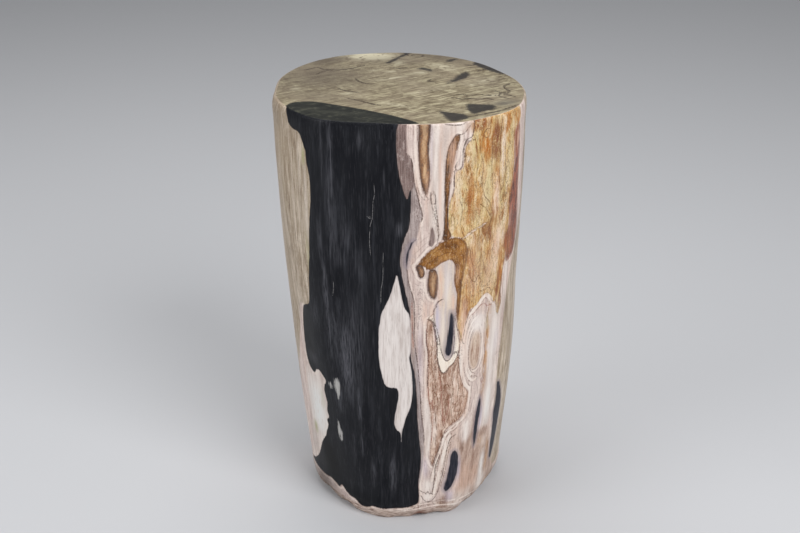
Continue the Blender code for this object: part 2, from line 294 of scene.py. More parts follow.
# Lines on the side, each drawn along its middle: dark veins, brown seams, red edges, pale cracks in the black
SIDE_LINES = {
    "vein": (
        ((3.6, 420.5), (5, 417), (5.9, 411), (6.3, 402), (6.7, 393), (7.4, 385), (8.4, 376), (9.2, 368),
         (10, 361), (10.3, 356), (9.8, 352)),
        ((7.3, 331.5), (6, 328.5), (4.8, 323), (3.8, 317), (3.2, 309.5), (3.4, 300), (4, 288), (4.8, 279),
         (5.8, 272), (6.6, 264), (6.7, 250), (6.7, 230), (7, 211), (8, 194), (8.6, 176), (9.3, 153),
         (9.5, 137), (10.2, 124), (11, 106), (11, 98)),
        ((13.8, 380), (13.9, 372), (14.6, 365), (15.5, 358), (16.2, 350), (16.9, 341), (17.2, 334),
         (16.8, 330)),
        ((32.4, 449), (31.9, 441), (31.4, 434.5), (30.2, 433.3), (28.8, 432.8), (28, 429), (27.3, 423),
         (27.1, 413), (26.9, 406), (26, 402.8), (24.5, 402.3), (23.9, 405), (24.6, 409.5)),
        ((32.3, 430.5), (31, 430.3), (29.4, 429.2), (28.6, 426), (28.3, 419), (28.2, 411)),
        ((23.8, 400), (23.6, 392), (23.7, 384), (23, 376)),
        ((19.8, 449), (23, 447.8), (26.5, 447.8), (29, 449.5)),
        ((30.2, 446), (28.6, 442), (27, 438.5), (25.6, 438), (24.3, 438.6), (22.7, 433), (21.3, 426.5),
         (20.4, 418)),
        ((20.4, 418), (19.9, 408), (19.7, 392), (19.7, 372), (19.6, 352), (19.4, 338), (19, 331.5)),
        ((17, 258), (15.9, 254), (15.8, 246), (16.2, 239), (17.3, 231), (18.2, 222), (18.9, 213),
         (19.6, 204), (20.6, 197.5), (21.8, 194.5), (23.2, 196), (24.3, 201), (24.9, 208), (25.4, 219),
         (25, 232), (24.9, 245)),
        ((19.6, 266), (17.8, 263.5), (16.7, 259)),
        ((13.1, 243), (15, 241), (16, 234), (16.8, 224), (17.4, 212), (17.6, 200), (18.4, 189),
         (19.3, 182.5), (20.6, 180.2), (22.6, 184)),
        ((19.3, 80), (18.6, 75), (17.5, 69), (16.9, 62), (16.9, 52), (16.3, 45), (16.1, 38), (15.5, 31.5)),
        ((27.5, 103), (25, 99.5), (23.7, 91), (22.7, 80), (21.9, 68), (21.2, 57), (20.3, 47), (19.2, 37.5),
         (18.2, 30.5), (16.4, 24.5), (14.4, 21.3), (12, 21.5), (10.2, 25), (9.2, 29.5)),
        ((21.5, 108), (20.2, 100), (19.5, 92), (18.5, 85), (17.2, 79), (16.3, 72), (15.6, 66)),
        ((8.7, 36), (10, 34.3), (11.2, 33.2), (12.1, 31), (12.6, 34.5), (13.3, 33.5), (14, 31),
         (14.7, 31.8), (15.5, 30)),
        ((26.7, 231), (27.6, 226.5), (28.4, 222), (29.2, 216), (29.9, 213)),
        ((27.8, 199.5), (26.8, 203), (26, 205), (25.2, 203)),
        ((14.6, 381.5), (15.6, 379), (15.9, 370), (16.4, 358), (17, 346), (17.2, 338)),
        ((12.3, 230), (12.3, 218), (13, 206), (13.1, 195), (13, 180), (12.8, 165)),
        ((146, 300), (142, 280), (140, 250), (143, 226)),
        ((92, 450), (94, 420), (92, 380), (95, 350), (93, 310), (97, 280), (96, 250)),
        ((196, 260), (198, 236), (203, 214), (201, 190), (197, 176)),
        ((226, 450), (228, 420), (226, 390), (229, 360), (232, 330), (231, 300), (233, 262), (231, 220),
         (234, 180)),
        ((106, 96), (103, 78), (106, 56), (104, 36), (108, 22)),
    ),
    "seam": (
        ((9.6, 306), (12.5, 312.5), (16, 318.5), (19, 323), (22, 325.5), (25, 324.5), (27, 318.5),
         (28.2, 308), (28.2, 296), (27.8, 284)),
        ((12.5, 305), (15.5, 310), (18.5, 314.5), (21.5, 317), (24, 315.5), (25.8, 309), (26.2, 299),
         (26, 287)),
        ((40, 438), (38, 439), (36.8, 435), (37.6, 430.5), (39.6, 431), (40.2, 435)),
        ((33, 384), (34.5, 379), (35.6, 383), (37, 378), (38.4, 370), (40, 366), (41.6, 358), (42, 350)),
        ((36, 363), (38.4, 358.5), (40.2, 353), (41.4, 348)),
        ((42.2, 432), (41.7, 415), (41.9, 398), (42.4, 380), (42.2, 366)),
        ((47, 446), (46.4, 425), (46.6, 405), (46.2, 390), (47.3, 377), (48.6, 371), (49.6, 378), (50, 396),
         (49.7, 416), (48.6, 428)),
        ((51.5, 398), (50.6, 388), (51.3, 376), (53, 380), (53.4, 392), (52.4, 399)),
        ((34.6, 440), (33.4, 425), (34.6, 408), (33.6, 392), (34.4, 376)),
        ((36.6, 436), (35.6, 420), (37.2, 402), (36.4, 388), (37.8, 374)),
        ((26.5, 372), (27.4, 360), (26.6, 346), (28, 336), (29.5, 328)),
        ((31.2, 318), (32, 306), (34, 298), (36.5, 303), (37, 312), (38.6, 300), (40.4, 288), (42, 280)),
        ((30.8, 296), (32.2, 286), (34.6, 280), (36.4, 286), (38.6, 276), (41, 271), (43.6, 275)),
        ((31.8, 270), (34.4, 264.5), (37.6, 268), (40.4, 266.4), (43.4, 268.4), (46, 261)),
        ((44.6, 318), (43.6, 304), (45.2, 292), (44.2, 280)),
        ((26.3, 264), (26, 250), (26.7, 236), (27.8, 224), (28.8, 215), (29.8, 223), (30.6, 234), (32, 245)),
        ((46.8, 264), (46.2, 255), (47.8, 249.5), (49.6, 249.5), (50.6, 243), (51.4, 235), (52.6, 232.6),
         (54, 238), (54.8, 246), (53.5, 256), (53.5, 272), (53.8, 292)),
        ((14.8, 232), (15.2, 214), (14.6, 196), (15.6, 180), (15.2, 164), (16.2, 148)),
        ((16.6, 206), (16.9, 190), (17.2, 178), (16.6, 162), (17.6, 146), (17, 128), (17.6, 112)),
        ((18.9, 179), (20, 166), (19.2, 152), (19.2, 138), (20.4, 124), (21.4, 114)),
        ((25.4, 192), (24.6, 176), (25.4, 160), (24.8, 146), (24.4, 134), (22.9, 121)),
        ((27.6, 192), (27.2, 176), (28.4, 162), (28, 148), (29.4, 136), (28.6, 124)),
        ((30.2, 174), (30.4, 160), (31.8, 148), (31.4, 136), (30, 126)),
        ((20.6, 158), (21.4, 166), (22.8, 167), (23.6, 158), (22.8, 148), (21.2, 149)),
        ((25.6, 98), (24.4, 86), (23.2, 72), (22.4, 60), (21.4, 48), (20.2, 38)),
        ((44.6, 244), (44, 230), (45, 218), (43.8, 204), (44.6, 190), (43.6, 176), (44.6, 162)),
        ((30, 150), (33.2, 148), (33.4, 138), (32.4, 128)),
        ((104, 440), (106, 400), (104, 360), (107, 320), (112, 296)),
        ((116, 450), (114, 410), (117, 372), (114, 330), (119, 300)),
        ((126, 450), (128, 412), (125, 370), (129, 330), (126, 296)),
    ),
    "rouge": (
        ((32.2, 240), (34, 243.5), (36.5, 247), (39, 251), (41.3, 251.5), (43.3, 248), (46.6, 247)),
        ((12.4, 232), (12.4, 220), (13, 207), (13.2, 195), (13.1, 180), (13, 168), (13.3, 155), (13.9, 142)),
        ((5.6, 262), (5.5, 245), (5.6, 228), (6, 212)),
        ((15.2, 148), (15.6, 130), (15.4, 112), (14.6, 95)),
        ((23.6, 152), (23.2, 138), (21.8, 124), (20.6, 116)),
        ((18.6, 180), (19.6, 160), (20.2, 140), (20.6, 122)),
        ((45.5, 165), (43.6, 158), (42, 166), (41.5, 178)),
        ((150, 225), (146, 240), (144, 262), (147, 280)),
    ),
    "crack": (
        ((-11, 388), (-10.8, 378), (-11.5, 370), (-11.8, 361), (-12.2, 351), (-13.1, 345), (-13.4, 337),
         (-13.6, 326), (-13.3, 315)),
        ((-14, 354), (-13.2, 352.5), (-12.3, 352)),
        ((-7.3, 316), (-7.6, 303), (-7.7, 291), (-8.2, 283), (-8.8, 276), (-9, 262)),
        ((-30.8, 280), (-31, 272), (-31.6, 266)),
        ((168, 400), (169.5, 372), (168.5, 350)),
    ),
}

# Bands on the side: half width in millimetres, and the middle
SIDE_RIBBONS = {
    "ribbon": (
        (2.4, ((46.5, 251), (44.5, 257), (42, 260.5), (40, 258), (37.5, 252.5), (34.5, 247.5), (32, 239),
            (30.4, 227), (29.5, 213), (29, 199), (29.4, 185), (30.6, 172), (32.4, 162), (34.6, 157))),
        (1.5, ((38, 240), (35, 236.5), (32.9, 228), (31.6, 216), (31.1, 203), (31.4, 190), (32.5, 178),
            (34.2, 169.5), (36.6, 165.5), (39, 167))),
        (1.2, ((37, 231.5), (34.4, 226), (32.8, 215), (32.2, 203), (32.4, 191), (33.6, 180), (35.6, 173.5),
            (38, 172))),
        (1.8, ((20.8, 100), (19.4, 86), (17.6, 70), (16, 57), (15.3, 47))),
        (2.1, ((24.5, 103), (22.9, 96), (21.6, 83), (20.1, 68), (18.9, 55), (17.8, 43), (16.5, 32),
            (14.4, 26.5))),
        (1.4, ((28.5, 114), (26, 110.5), (23.6, 108.5), (21.9, 103.5))),
        (0.9, ((26.5, 327.5), (29, 331.5), (32, 335.5), (36, 339), (39, 341))),
        (1.6, ((35.2, 158), (35, 147), (34.9, 137), (33.9, 127), (31.3, 120), (28.6, 117))),
        (1.1, ((14.8, 381), (14.8, 371), (15.6, 358), (16.6, 345), (17.2, 337))),
        (1.3, ((-20, 9), (-5, 10), (8, 13), (20, 14.5), (32, 11), (45, 7))),
        (1.2, ((2, 17.5), (12, 18.5), (22, 20), (31, 17), (42, 12.5), (53, 8))),
        (1.6, ((119, 196), (113, 176), (109.5, 141), (112.5, 103), (110.5, 70), (118, 36), (127, 62),
            (130.5, 100), (128.5, 136), (131.5, 164), (126, 192))),
        (2.0, ((216, 356), (206.5, 326), (202.5, 286), (204.5, 250), (201.5, 213), (206, 172), (214, 152),
            (219, 194), (224, 226), (226, 260), (230, 298), (226, 336))),
        (1.4, ((150, 430), (148, 380), (150, 350), (154, 330), (158, 300), (161, 270), (165, 240),
            (170, 212))),
    ),
}

# Soft vertical streaks: degrees, top and bottom in millimetres, half width in degrees, strength
SIDE_STREAKS = {
    "smoke": (
        (-35, 305, 190, 1.2, 0.8), (-33.6, 450, 378, 0.6, 0.4), (-31.2, 400, 300, 0.7, 0.6),
        (-30, 372, 312, 2.2, 0.45), (-29.7, 445, 372, 0.9, 0.75), (-24, 345, 315, 2.5, 0.4),
        (-27, 230, 150, 3.6, 1.0), (-22, 262, 180, 4.5, 0.45), (-32, 250, 190, 2.4, 0.45),
        (-22, 160, 118, 0.8, 0.9), (-22, 102, 80, 0.7, 0.7), (-36, 345, 305, 1.2, 0.5),
        (-21.5, 235, 160, 1.6, 0.4), (-16.5, 72, 46, 1.2, 0.5), (-6, 80, 40, 1.5, 0.85),
        (-26.5, 102, 70, 0.6, 0.45), (-11.3, 125, 104, 0.5, 0.4), (-6.5, 400, 383, 0.4, 0.45),
        (-17, 440, 424, 1.6, 0.4), (0.4, 347, 338, 1.4, 0.7), (-43, 250, 225, 3.0, 0.3),
        (-33, 165, 128, 3.0, 0.5), (6.3, 176, 155, 0.9, 0.35), (-50, 182, 172, 4.0, 0.35),
        (-28, 322, 300, 4.0, 0.35), (-19, 320, 285, 3.0, 0.3), (172, 420, 330, 2.0, 0.6),
        (196, 400, 360, 2.0, 0.5), (236, 110, 60, 2.5, 0.6),
    ),
    "orange": (
        (39, 434, 412, 3.2, 1.0), (37.5, 398, 386, 3.0, 0.25), (31, 386, 350, 2.6, 0.7),
        (50.8, 448, 424, 1.6, 1.0), (45, 396, 378, 1.6, 0.8), (55.5, 400, 372, 1.2, 0.7),
        (35, 378, 352, 2.2, 0.5), (52.2, 302, 258, 2.2, 1.0), (31, 318, 262, 2.2, 0.4),
        (34.5, 447, 441, 5.0, 0.9), (30, 356, 345, 2.0, 0.6), (45.2, 244, 150, 1.7, 1.0),
        (44.4, 246, 196, 1.0, 0.7), (58, 448, 424, 2.0, 1.0), (43.6, 200, 180, 0.8, 0.8),
        (54, 78, 68, 6.0, 0.35), (58.5, 66, 30, 2.0, 0.6), (21.3, 425, 395, 0.8, 0.9),
        (50, 84, 76, 4.0, 0.6), (55.5, 74, 60, 2.0, 0.8), (58, 62, 34, 2.0, 0.8), (28, 250, 230, 1.2, 0.5),
        (53, 300, 268, 1.4, 1.0), (62, 12, 0, 5.0, 0.8), (112, 440, 330, 4.0, 0.8),
        (57, 318, 292, 3.4, 0.9), (57.5, 424, 404, 1.6, 0.8), (134, 300, 250, 3.0, 0.6),
        (126, 420, 300, 3.0, 0.8), (205, 140, 80, 3.0, 0.8),
    ),
    "rust": (
        (44, 448, 402, 2.8, 1.0), (35, 450, 442, 5.0, 1.0), (31, 386, 352, 1.4, 0.4),
        (26.5, 300, 262, 1.4, 0.5), (43, 352, 338, 4.0, 0.5), (36.5, 328, 312, 3.2, 0.6),
        (52, 252, 236, 1.6, 0.7), (48, 276, 252, 1.2, 0.5), (39.5, 298, 286, 2.6, 0.45),
        (33, 425, 405, 1.4, 0.3), (22, 190, 128, 2.6, 0.7), (16, 232, 182, 0.8, 0.8),
        (14.3, 239, 228, 1.3, 0.9), (18, 96, 80, 1.3, 1.0), (26, 194, 180, 2.5, 0.7),
        (45.4, 214, 202, 0.7, 1.0), (42.8, 72, 58, 1.2, 0.8), (44.8, 42, 28, 2.0, 0.4),
        (49.8, 280, 250, 1.5, 0.9), (53, 270, 238, 1.6, 1.0), (30, 262, 218, 1.5, 0.8),
        (34, 300, 270, 2.4, 0.5), (38, 320, 262, 6.0, 0.3), (43.6, 150, 130, 1.0, 0.9),
        (40, 343, 320, 3.4, 0.7), (46, 349, 334, 3.0, 0.45), (37, 329, 318, 2.2, 0.8),
        (33, 362, 346, 2.4, 0.4), (31, 318, 300, 1.6, 0.5), (39.6, 380, 352, 0.7, 0.5),
        (8.5, 8, 1, 3.6, 1.0), (14.4, 343, 327, 0.9, 1.2), (60, 10, 0, 7.0, 0.5), (120, 430, 380, 3.0, 0.8),
        (108, 350, 310, 3.0, 0.7), (152, 200, 100, 3.0, 0.6),
    ),
    "cream": (
        (25.6, 436, 345, 2.6, 0.7), (48.3, 445, 386, 1.5, 1.0), (44.6, 378, 350, 1.6, 1.0),
        (30, 425, 392, 1.8, 0.9), (25.5, 398, 360, 1.6, 0.7), (47.5, 332, 305, 2.0, 0.9),
        (51.3, 358, 338, 1.4, 0.8), (54.3, 445, 398, 1.4, 0.5), (39.5, 400, 360, 2.4, 0.5),
        (47, 300, 282, 1.6, 0.9), (37.3, 378, 370, 1.0, 0.6), (32.5, 336, 322, 1.8, 0.6),
        (23.5, 376, 340, 1.2, 0.5), (24, 330, 318, 1.0, 0.25), (52.5, 392, 330, 1.0, 0.5),
        (30, 288, 280, 1.0, 0.6), (45, 380, 352, 2.0, 1.0), (50.4, 348, 312, 2.6, 0.9),
        (46, 320, 300, 2.4, 0.8), (42, 296, 270, 3.0, 0.2), (118, 420, 340, 2.0, 0.8),
        (108, 440, 400, 2.0, 0.7), (131, 380, 330, 1.5, 0.7),
    ),
    "lime": (
        (-43.4, 415, 402, 0.9, 1.0), (-43.8, 322, 282, 1.0, 0.5), (-57, 91, 80, 1.6, 1.0),
        (-46.5, 140, 120, 1.4, 0.35), (44.3, 235, 220, 1.2, 0.35), (-4, 204, 198, 0.5, 0.4),
    ),
    # Pale streaks in the beige: at the left they are the wood's own, and those from 61 to 68 degrees are
    # painted light on the right side where it turns away
    "glow": (
        (-42.8, 400, 316, 1.1, 1.0), (-57.5, 240, 165, 1.8, 0.9), (-47, 430, 300, 1.6, 0.3),
        (-53, 400, 300, 1.2, 0.3), (-61, 140, 80, 2.5, 0.5), (-64, 400, 300, 1.5, 0.3),
        (63.5, 425, 335, 2.2, 1.0), (61.5, 290, 250, 2.0, 0.5), (66.5, 290, 150, 2.4, 0.3),
        (68, 150, 30, 3.0, 0.8), (-51, 130, 75, 5.0, 1.0), (-76, 400, 250, 3.0, 0.5),
        (-92, 330, 120, 3.0, 0.5), (-112, 300, 90, 3.0, 0.5), (77, 300, 120, 3.0, 0.5),
    ),
    "olive": (
        (53.5, 440, 396, 1.8, 1.0), (33, 440, 400, 2.2, 0.8), (40, 400, 362, 3.0, 0.9),
        (28, 395, 345, 2.4, 0.7), (50.5, 350, 330, 1.2, 0.6), (34, 365, 345, 3.0, 0.5),
        (108, 400, 330, 3.0, 0.8), (128, 350, 290, 3.0, 0.8),
    ),
    "blush": (
        (22.6, 438, 398, 1.5, 0.7), (17.8, 440, 350, 0.8, 0.6), (18.4, 300, 262, 1.2, 0.8),
        (24.3, 268, 250, 0.8, 0.8), (5.8, 262, 205, 0.8, 0.5), (11.5, 262, 240, 1.4, 0.5),
        (14.8, 262, 245, 1.4, 0.5), (36, 60, 18, 7.0, 0.5), (45, 52, 20, 6.0, 0.45),
        (33, 150, 122, 1.6, 0.5), (26, 300, 285, 1.0, 0.4), (12.3, 400, 352, 1.2, 0.3),
        (59.5, 424, 410, 0.9, 0.8), (12.5, 205, 150, 0.9, 0.3), (45, 380, 352, 1.8, 0.5),
        (46, 332, 300, 3.4, 0.5), (43, 304, 268, 4.2, 0.45), (57, 348, 322, 1.0, 0.3),
        (34, 316, 262, 4.4, 0.35), (29.5, 262, 214, 1.8, 0.7),
    ),
    "lilac": (
        (17.5, 257, 222, 1.4, 0.9), (9.2, 236, 160, 1.3, 0.35), (45.6, 126, 100, 1.2, 0.9),
        (38, 240, 225, 3.0, 0.35), (30.5, 70, 45, 1.4, 0.7), (25.5, 30, 20, 2.4, 0.8),
        (2, 180, 120, 1.6, 0.25), (11.5, 76, 55, 1.8, 0.5), (52.5, 215, 190, 2.5, 0.3),
        (14, 448, 400, 0.5, 0.4),
    ),
    "pearl": (
        (38, 240, 224, 5.0, 0.9), (12.8, 48, 35, 3.0, 0.9), (12.6, 31, 24, 2.8, 0.9),
        (52.4, 58, 20, 2.4, 0.95), (34.6, 118, 92, 2.0, 0.9), (41, 236, 222, 3.2, 0.7),
        (50.5, 240, 185, 2.0, 0.6), (31, 26, 4, 6.0, 0.6), (39, 24, 8, 5.0, 0.5), (53, 30, 10, 6.0, 0.9),
        (49.5, 150, 108, 2.4, 0.8), (16.4, 132, 96, 1.3, 0.5), (16, 440, 352, 0.9, 0.3),
        (21.5, 300, 262, 1.2, 0.6), (20, 250, 210, 1.0, 0.5), (51, 84, 72, 3.0, 0.5),
        (-50, 150, 84, 4.0, 1.0),
    ),
    "dots": (
        (15.2, 298, 270, 1.8, 0.8), (9.2, 278, 243, 1.1, 0.9), (27.2, 208, 188, 1.8, 1.0),
        (9.9, 150, 98, 0.7, 0.9), (11.5, 384, 374, 1.6, 0.9), (8.2, 385, 342, 1.3, 0.9),
        (42, 332, 300, 5.0, 0.6), (36, 300, 264, 8.0, 0.5), (51.5, 395, 335, 1.8, 0.8),
        (33, 390, 335, 5.0, 0.5), (48.8, 392, 345, 1.0, 0.8), (17, 200, 180, 0.9, 0.8),
        (3, 330, 302, 1.4, 0.6), (22, 70, 40, 0.9, 0.5), (24.5, 100, 84, 1.2, 0.6),
        (44.5, 175, 150, 2.0, 0.6), (20.5, 124, 108, 1.0, 0.7), (57, 195, 178, 3.0, 0.5),
        (146, 450, 380, 2.0, 0.9), (216, 380, 350, 2.0, 0.8), (210, 300, 200, 2.0, 0.7),
        (172, 40, 20, 6.0, 0.6), (134, 200, 150, 2.0, 0.8), (98, 300, 270, 2.0, 0.8),
        (-78, 450, 432, 12.0, 1.0), (-100, 450, 436, 12.0, 0.8), (12, 450, 440, 1.6, 0.6),
        (-46, 300, 250, 1.2, 0.5), (-44, 440, 425, 1.6, 0.5), (1.5, 440, 400, 1.2, 0.5),
    ),
    "frost": (
        (-52, 142, 84, 6.5, 1.0), (-49, 120, 96, 3.0, 0.6), (50, 232, 150, 3.0, 0.2),
        (51, 148, 106, 2.4, 0.6), (52.6, 60, 22, 2.2, 0.5),
    ),
    "sound": (
        (46, 60, -40, 24, 1.0), (4, 30, -10, 8, 0.3), (112, 40, -10, 12, 0.7), (204, 40, -10, 16, 0.8),
    ),
    # Painted shade on the black: it is made darker low on the left, on its left bulge and near the foot
    "soot": (
        (-47, 76, 28, 9.0, 0.95), (-53, 240, 160, 5.0, 1.0), (-30, 30, 14, 16.0, 0.5),
    ),
    # Painted shade: soft darkening at the foot, low on the left, near the top of the front and along the
    # right side
    "dusk": (
        (-62, 84, 52, 4.0, 0.3), (11, 453, 442, 3.0, 0.45), (52.4, 242, 233, 1.2, 0.45),
        (-58, 30, 0, 15.0, 1.0), (-75, 26, 0, 16.0, 0.8), (62, 225, 200, 4.0, 0.18),
        (60.5, 245, 228, 2.5, 0.35), (66, 330, 290, 4.0, 0.3), (100, 16, 0, 30.0, 0.4),
        (-66, 448, 424, 6.0, 0.25),
    ),
}

# The seat, in millimetres from its middle
SEAT_SHAPES = {
    "black": (
        ((-109, -66), (-106, -60), (-99, -56), (-88, -54.5), (-77, -57.5), (-61, -66), (-42, -76),
         (-23, -87.5), (-5, -100), (5, -108.5), (12, -115), (19, -124), (10, -145), (-60, -145),
         (-125, -115), (-118, -80)),
    ),
    "lens": (
        ((40, -87), (47, -89), (56, -93), (63, -96.5), (67, -104), (65, -109), (56, -115.5), (50, -117),
         (45, -107), (41.5, -95)),
        ((66.5, -65), (72, -63), (82, -65), (91, -66.5), (94.5, -75), (92, -81), (84, -84), (78, -90),
         (73.5, -95.5), (69.5, -90), (67, -80)),
        ((80, 82), (84, 71), (91, 60), (99, 50), (110, 40), (124, 44), (112, 74), (94, 94)),
        ((-13, 83), (-10, 84), (-3, 94), (3, 105), (9, 116), (14, 127), (10, 128), (4, 116), (-2, 105),
         (-8, 93)),
        ((52, 86), (57, 90), (63, 97), (60, 99), (54, 95)),
        ((72, 49), (74, 39), (71, 28), (64, 19), (56, 11), (50, 7), (54, 17), (59, 27), (63, 37), (68, 46)),
        ((20, 61), (25, 65), (30, 62), (35, 55), (34, 51), (29, 55), (24, 58)),
    ),
}
SEAT_LINES = (
    ((-97, 57), (-91, 63), (-85, 64), (-80, 59.5), (-72, 57), (-61, 57), (-51, 61), (-43, 68), (-38, 73)),
    ((-73, 55), (-79, 50), (-85, 41)),
    ((-44, 22), (-40, 13), (-35, 7), (-30, 5)),
    ((-12, 83), (-5, 93), (1, 105), (6, 115), (12, 127)),
    ((13, 112), (18, 117), (26, 114), (26, 108), (18, 106)),
    ((104, 58), (93, 59), (84, 52)),
    ((33, 20), (31, 15), (36, 12)),
    ((-6, 64), (2, 62), (8, 65)),
    ((72, 76), (77, 72), (81, 75)),
    ((96, -20), (104, -26), (100, -36), (108, -44)),
    ((-60, -12), (-52, -20), (-42, -24)),
    ((60, -30), (70, -34), (80, -31), (92, -35)),
    ((-49, -46), (-40, -51), (-30, -60), (-19, -67)),
    ((54, -42), (62, -47), (70, -44), (78, -48), (88, -45), (93, -49)),
    ((112, 5), (107, -8), (112, -20), (108, -30), (115, -38)),
    ((66, -105), (78, -97), (92, -89), (104, -79), (115, -68)),
)
# Soft patches on the seat: middle, half length, half width, degrees that its length is turned, strength
SEAT_PATCHES = {
    "cream": (
        (-31, 109, 22, 11, -4, 2.2), (48, 68, 16, 8, -42, 0.6), (0, 84, 9, 6, 70, 0.5),
        (-8, 25, 17, 2.6, 27, 0.7), (23, 46, 9, 4, 20, 0.55), (-8, 50, 7, 3, 25, 0.5),
        (73, 2, 5, 3, 0, 0.6), (89, 16, 12, 4, 38, 0.6), (-50, -28, 6, 4, 30, 0.5),
        (-104, -13, 5, 6, 0, 0.5), (50, 0, 16, 2, 28, 0.3), (-27, 55, 5, 3, 20, 0.4),
        (30, -20, 20, 2.4, 30, 0.35), (95, -35, 14, 4, 25, 0.35), (-2, -66, 16, 4, -25, 0.4),
    ),
    "rust": (
        (-37, -50, 9, 4, -40, 0.7), (-26, -62, 8, 3, -35, 0.7), (5, -38, 12, 3, 5, 0.55),
        (6, -79, 8, 4, -5, 0.8), (28, -72, 4, 4, 0, 0.6), (75, 73, 5, 4, 0, 0.7), (33, 16, 4, 4, 0, 0.8),
        (3, 63, 5, 3, 10, 0.8), (47, 45, 3, 3, 0, 0.6), (-78, 88, 20, 10, 40, 0.3),
        (62, -42, 11, 4, -8, 0.6), (84, -46, 8, 4, 8, 0.6), (-32, 6, 4, 3, 0, 0.4),
        (-118, 0, 4, 40, 0, 0.5), (40, 110, 14, 5, -25, 0.4), (80, 40, 10, 5, 60, 0.3),
    ),
    "smoke": (
        (104, -60, 15, 8, 30, 0.9), (-84, -78, 8, 4, 0, 0.6), (-60, -90, 30, 4, -12, 0.5),
    ),
    "gleam": (
        (-116, -20, 9, 40, 0, 1.0), (45, -30, 60, 45, 20, 1.0), (20, 30, 45, 25, 30, 0.8),
        (-60, -35, 40, 18, -20, 0.8), (100, 0, 25, 60, 0, 1.0), (-110, -10, 12, 50, 0, 0.8),
        (20, -85, 50, 25, 10, 1.0),
    ),
    # Painted shade on the seat: soft darkening over its left side, towards the back and a little at the front
    # left
    "dusk": (
        (-80, 30, 55, 60, -30, 0.95), (-10, 95, 60, 26, 0, 0.65), (45, 105, 44, 22, -30, 0.85),
        (-62, -50, 40, 14, -20, 0.4), (-85, -30, 40, 26, -30, 0.6), (-78, 92, 40, 24, 40, 1.0),
        (98, 14, 22, 40, -10, 0.4), (0, 20, 60, 40, 20, 0.25), (30, 55, 14, 9, -20, 0.6),
        (66, 100, 20, 12, -40, 0.6), (-40, 40, 40, 25, 20, 0.4),
    ),
}

MARKS = (
    "beige", "tan", "sand", "white", "ash", "wedge", "band", "umber", "gold", "red", "nest", "vee", "hook",
    "tongue", "black", "island", "smudge", "lens",
)
STREAKS = (
    "smoke", "orange", "rust", "cream", "lime", "glow", "olive", "blush", "lilac", "pearl", "frost", "dots",
    "soot", "sound", "dusk", "gleam",
)
# The forms that pale bands follow
SHORE_OF = ("tan", "gold", "hook", "umber", "nest", "black", "tongue", "band", "red")

# Each light's name, place and size, and the setting that holds its power
LIGHTS = (
    ("key_light", (1.15, -1.55, 1.75), 1.5, "key_power"),
    ("fill_light", (-1.9, -1.0, 1.25), 1.6, "fill_power"),
    ("top_light", (-0.2, 0.5, 2.1), 1.6, "top_power"),
)


def smooth_curve(points, closed):
    """A centripetal curve through the points, so that it keeps near them round a sharp turn."""
    given = np.array(points, float)
    if closed:
        around = np.concatenate([given[-1:], given, given[:2]])
    else:
        around = np.concatenate([2 * given[:1] - given[1:2], given, 2 * given[-1:] - given[-2:-1]])
    a, b, c, d = around[:-3], around[1:-2], around[2:-1], around[3:]

    def gap(one, two):
        return np.maximum(np.linalg.norm(two - one, axis=1, keepdims=True), 1e-6) ** 0.5

    t1 = gap(a, b)
    t2 = t1 + gap(b, c)
    t3 = t2 + gap(c, d)
    found = []
    for step in range(CURVE_STEPS):
        t = t1 + (t2 - t1) * step / CURVE_STEPS
        ab = a * (t1 - t) / t1 + b * t / t1
        bc = b * (t2 - t) / (t2 - t1) + c * (t - t1) / (t2 - t1)
        cd = c * (t3 - t) / (t3 - t2) + d * (t - t2) / (t3 - t2)
        abc = ab * (t2 - t) / t2 + bc * t / t2
        bcd = bc * (t3 - t) / (t3 - t1) + cd * (t - t1) / (t3 - t1)
        found.append(abc * (t2 - t) / (t2 - t1) + bcd * (t - t1) / (t2 - t1))
    curve = np.stack(found, 1).reshape(-1, 2)
    return curve if closed else np.concatenate([curve, given[-1:]])


def near_box(at, curve):
    low, high = curve.min(0) - REACH, curve.max(0) + REACH
    return np.flatnonzero(((at > low) & (at < high)).all(1))


def segment_distance(at, start, end):
    """Distances to one straight piece, and on which side of it each point lies."""
    along = end - start
    offset = at - start
    share = np.clip(offset @ along / max(along @ along, 1e-9), 0, 1)
    apart = offset - share[:, None] * along
    turn = along[0] * offset[:, 1] - along[1] * offset[:, 0]
    return np.hypot(apart[:, 0], apart[:, 1]), turn


def inside_distance(at, outline):
    """How far each point is inside a closed outline. Outside it is negative."""
    curve = smooth_curve(outline, True)
    result = np.full(len(at), -REACH)
    index = near_box(at, curve)
    near = at[index]
    least = np.full(len(near), REACH)
    inside = np.zeros(len(near), bool)
    for start, end in zip(curve, np.roll(curve, -1, 0)):
        apart, _ = segment_distance(near, start, end)
        least = np.minimum(least, apart)
        if start[1] != end[1]:
            spans = (start[1] > near[:, 1]) != (end[1] > near[:, 1])
            crossing = start[0] + (near[:, 1] - start[1]) * (end[0] - start[0]) / (end[1] - start[1])
            inside ^= spans & (near[:, 0] < crossing)
    result[index] = np.where(inside, least, -least)
    return result


def line_distance(at, line, best, side):
    """Updates each point's distance to its nearest line, and the same with a sign for the two sides."""
    curve = smooth_curve(line, False)
    index = near_box(at, curve)
    near = at[index]
    for start, end in zip(curve[:-1], curve[1:]):
        apart, turn = segment_distance(near, start, end)
        closer = apart < best[index]
        chosen = index[closer]
        best[chosen] = apart[closer]
        side[chosen] = np.where(turn[closer] > 0, 1, -1) * apart[closer]


def wall_points(degrees, heights, middle):
    """Points of the side in millimetres, each with its bearing within half a turn of the middle."""
    turned = (degrees - middle + 180) % 360 - 180 + middle
    return np.stack([turned * MM_PER_DEGREE, heights], 1)


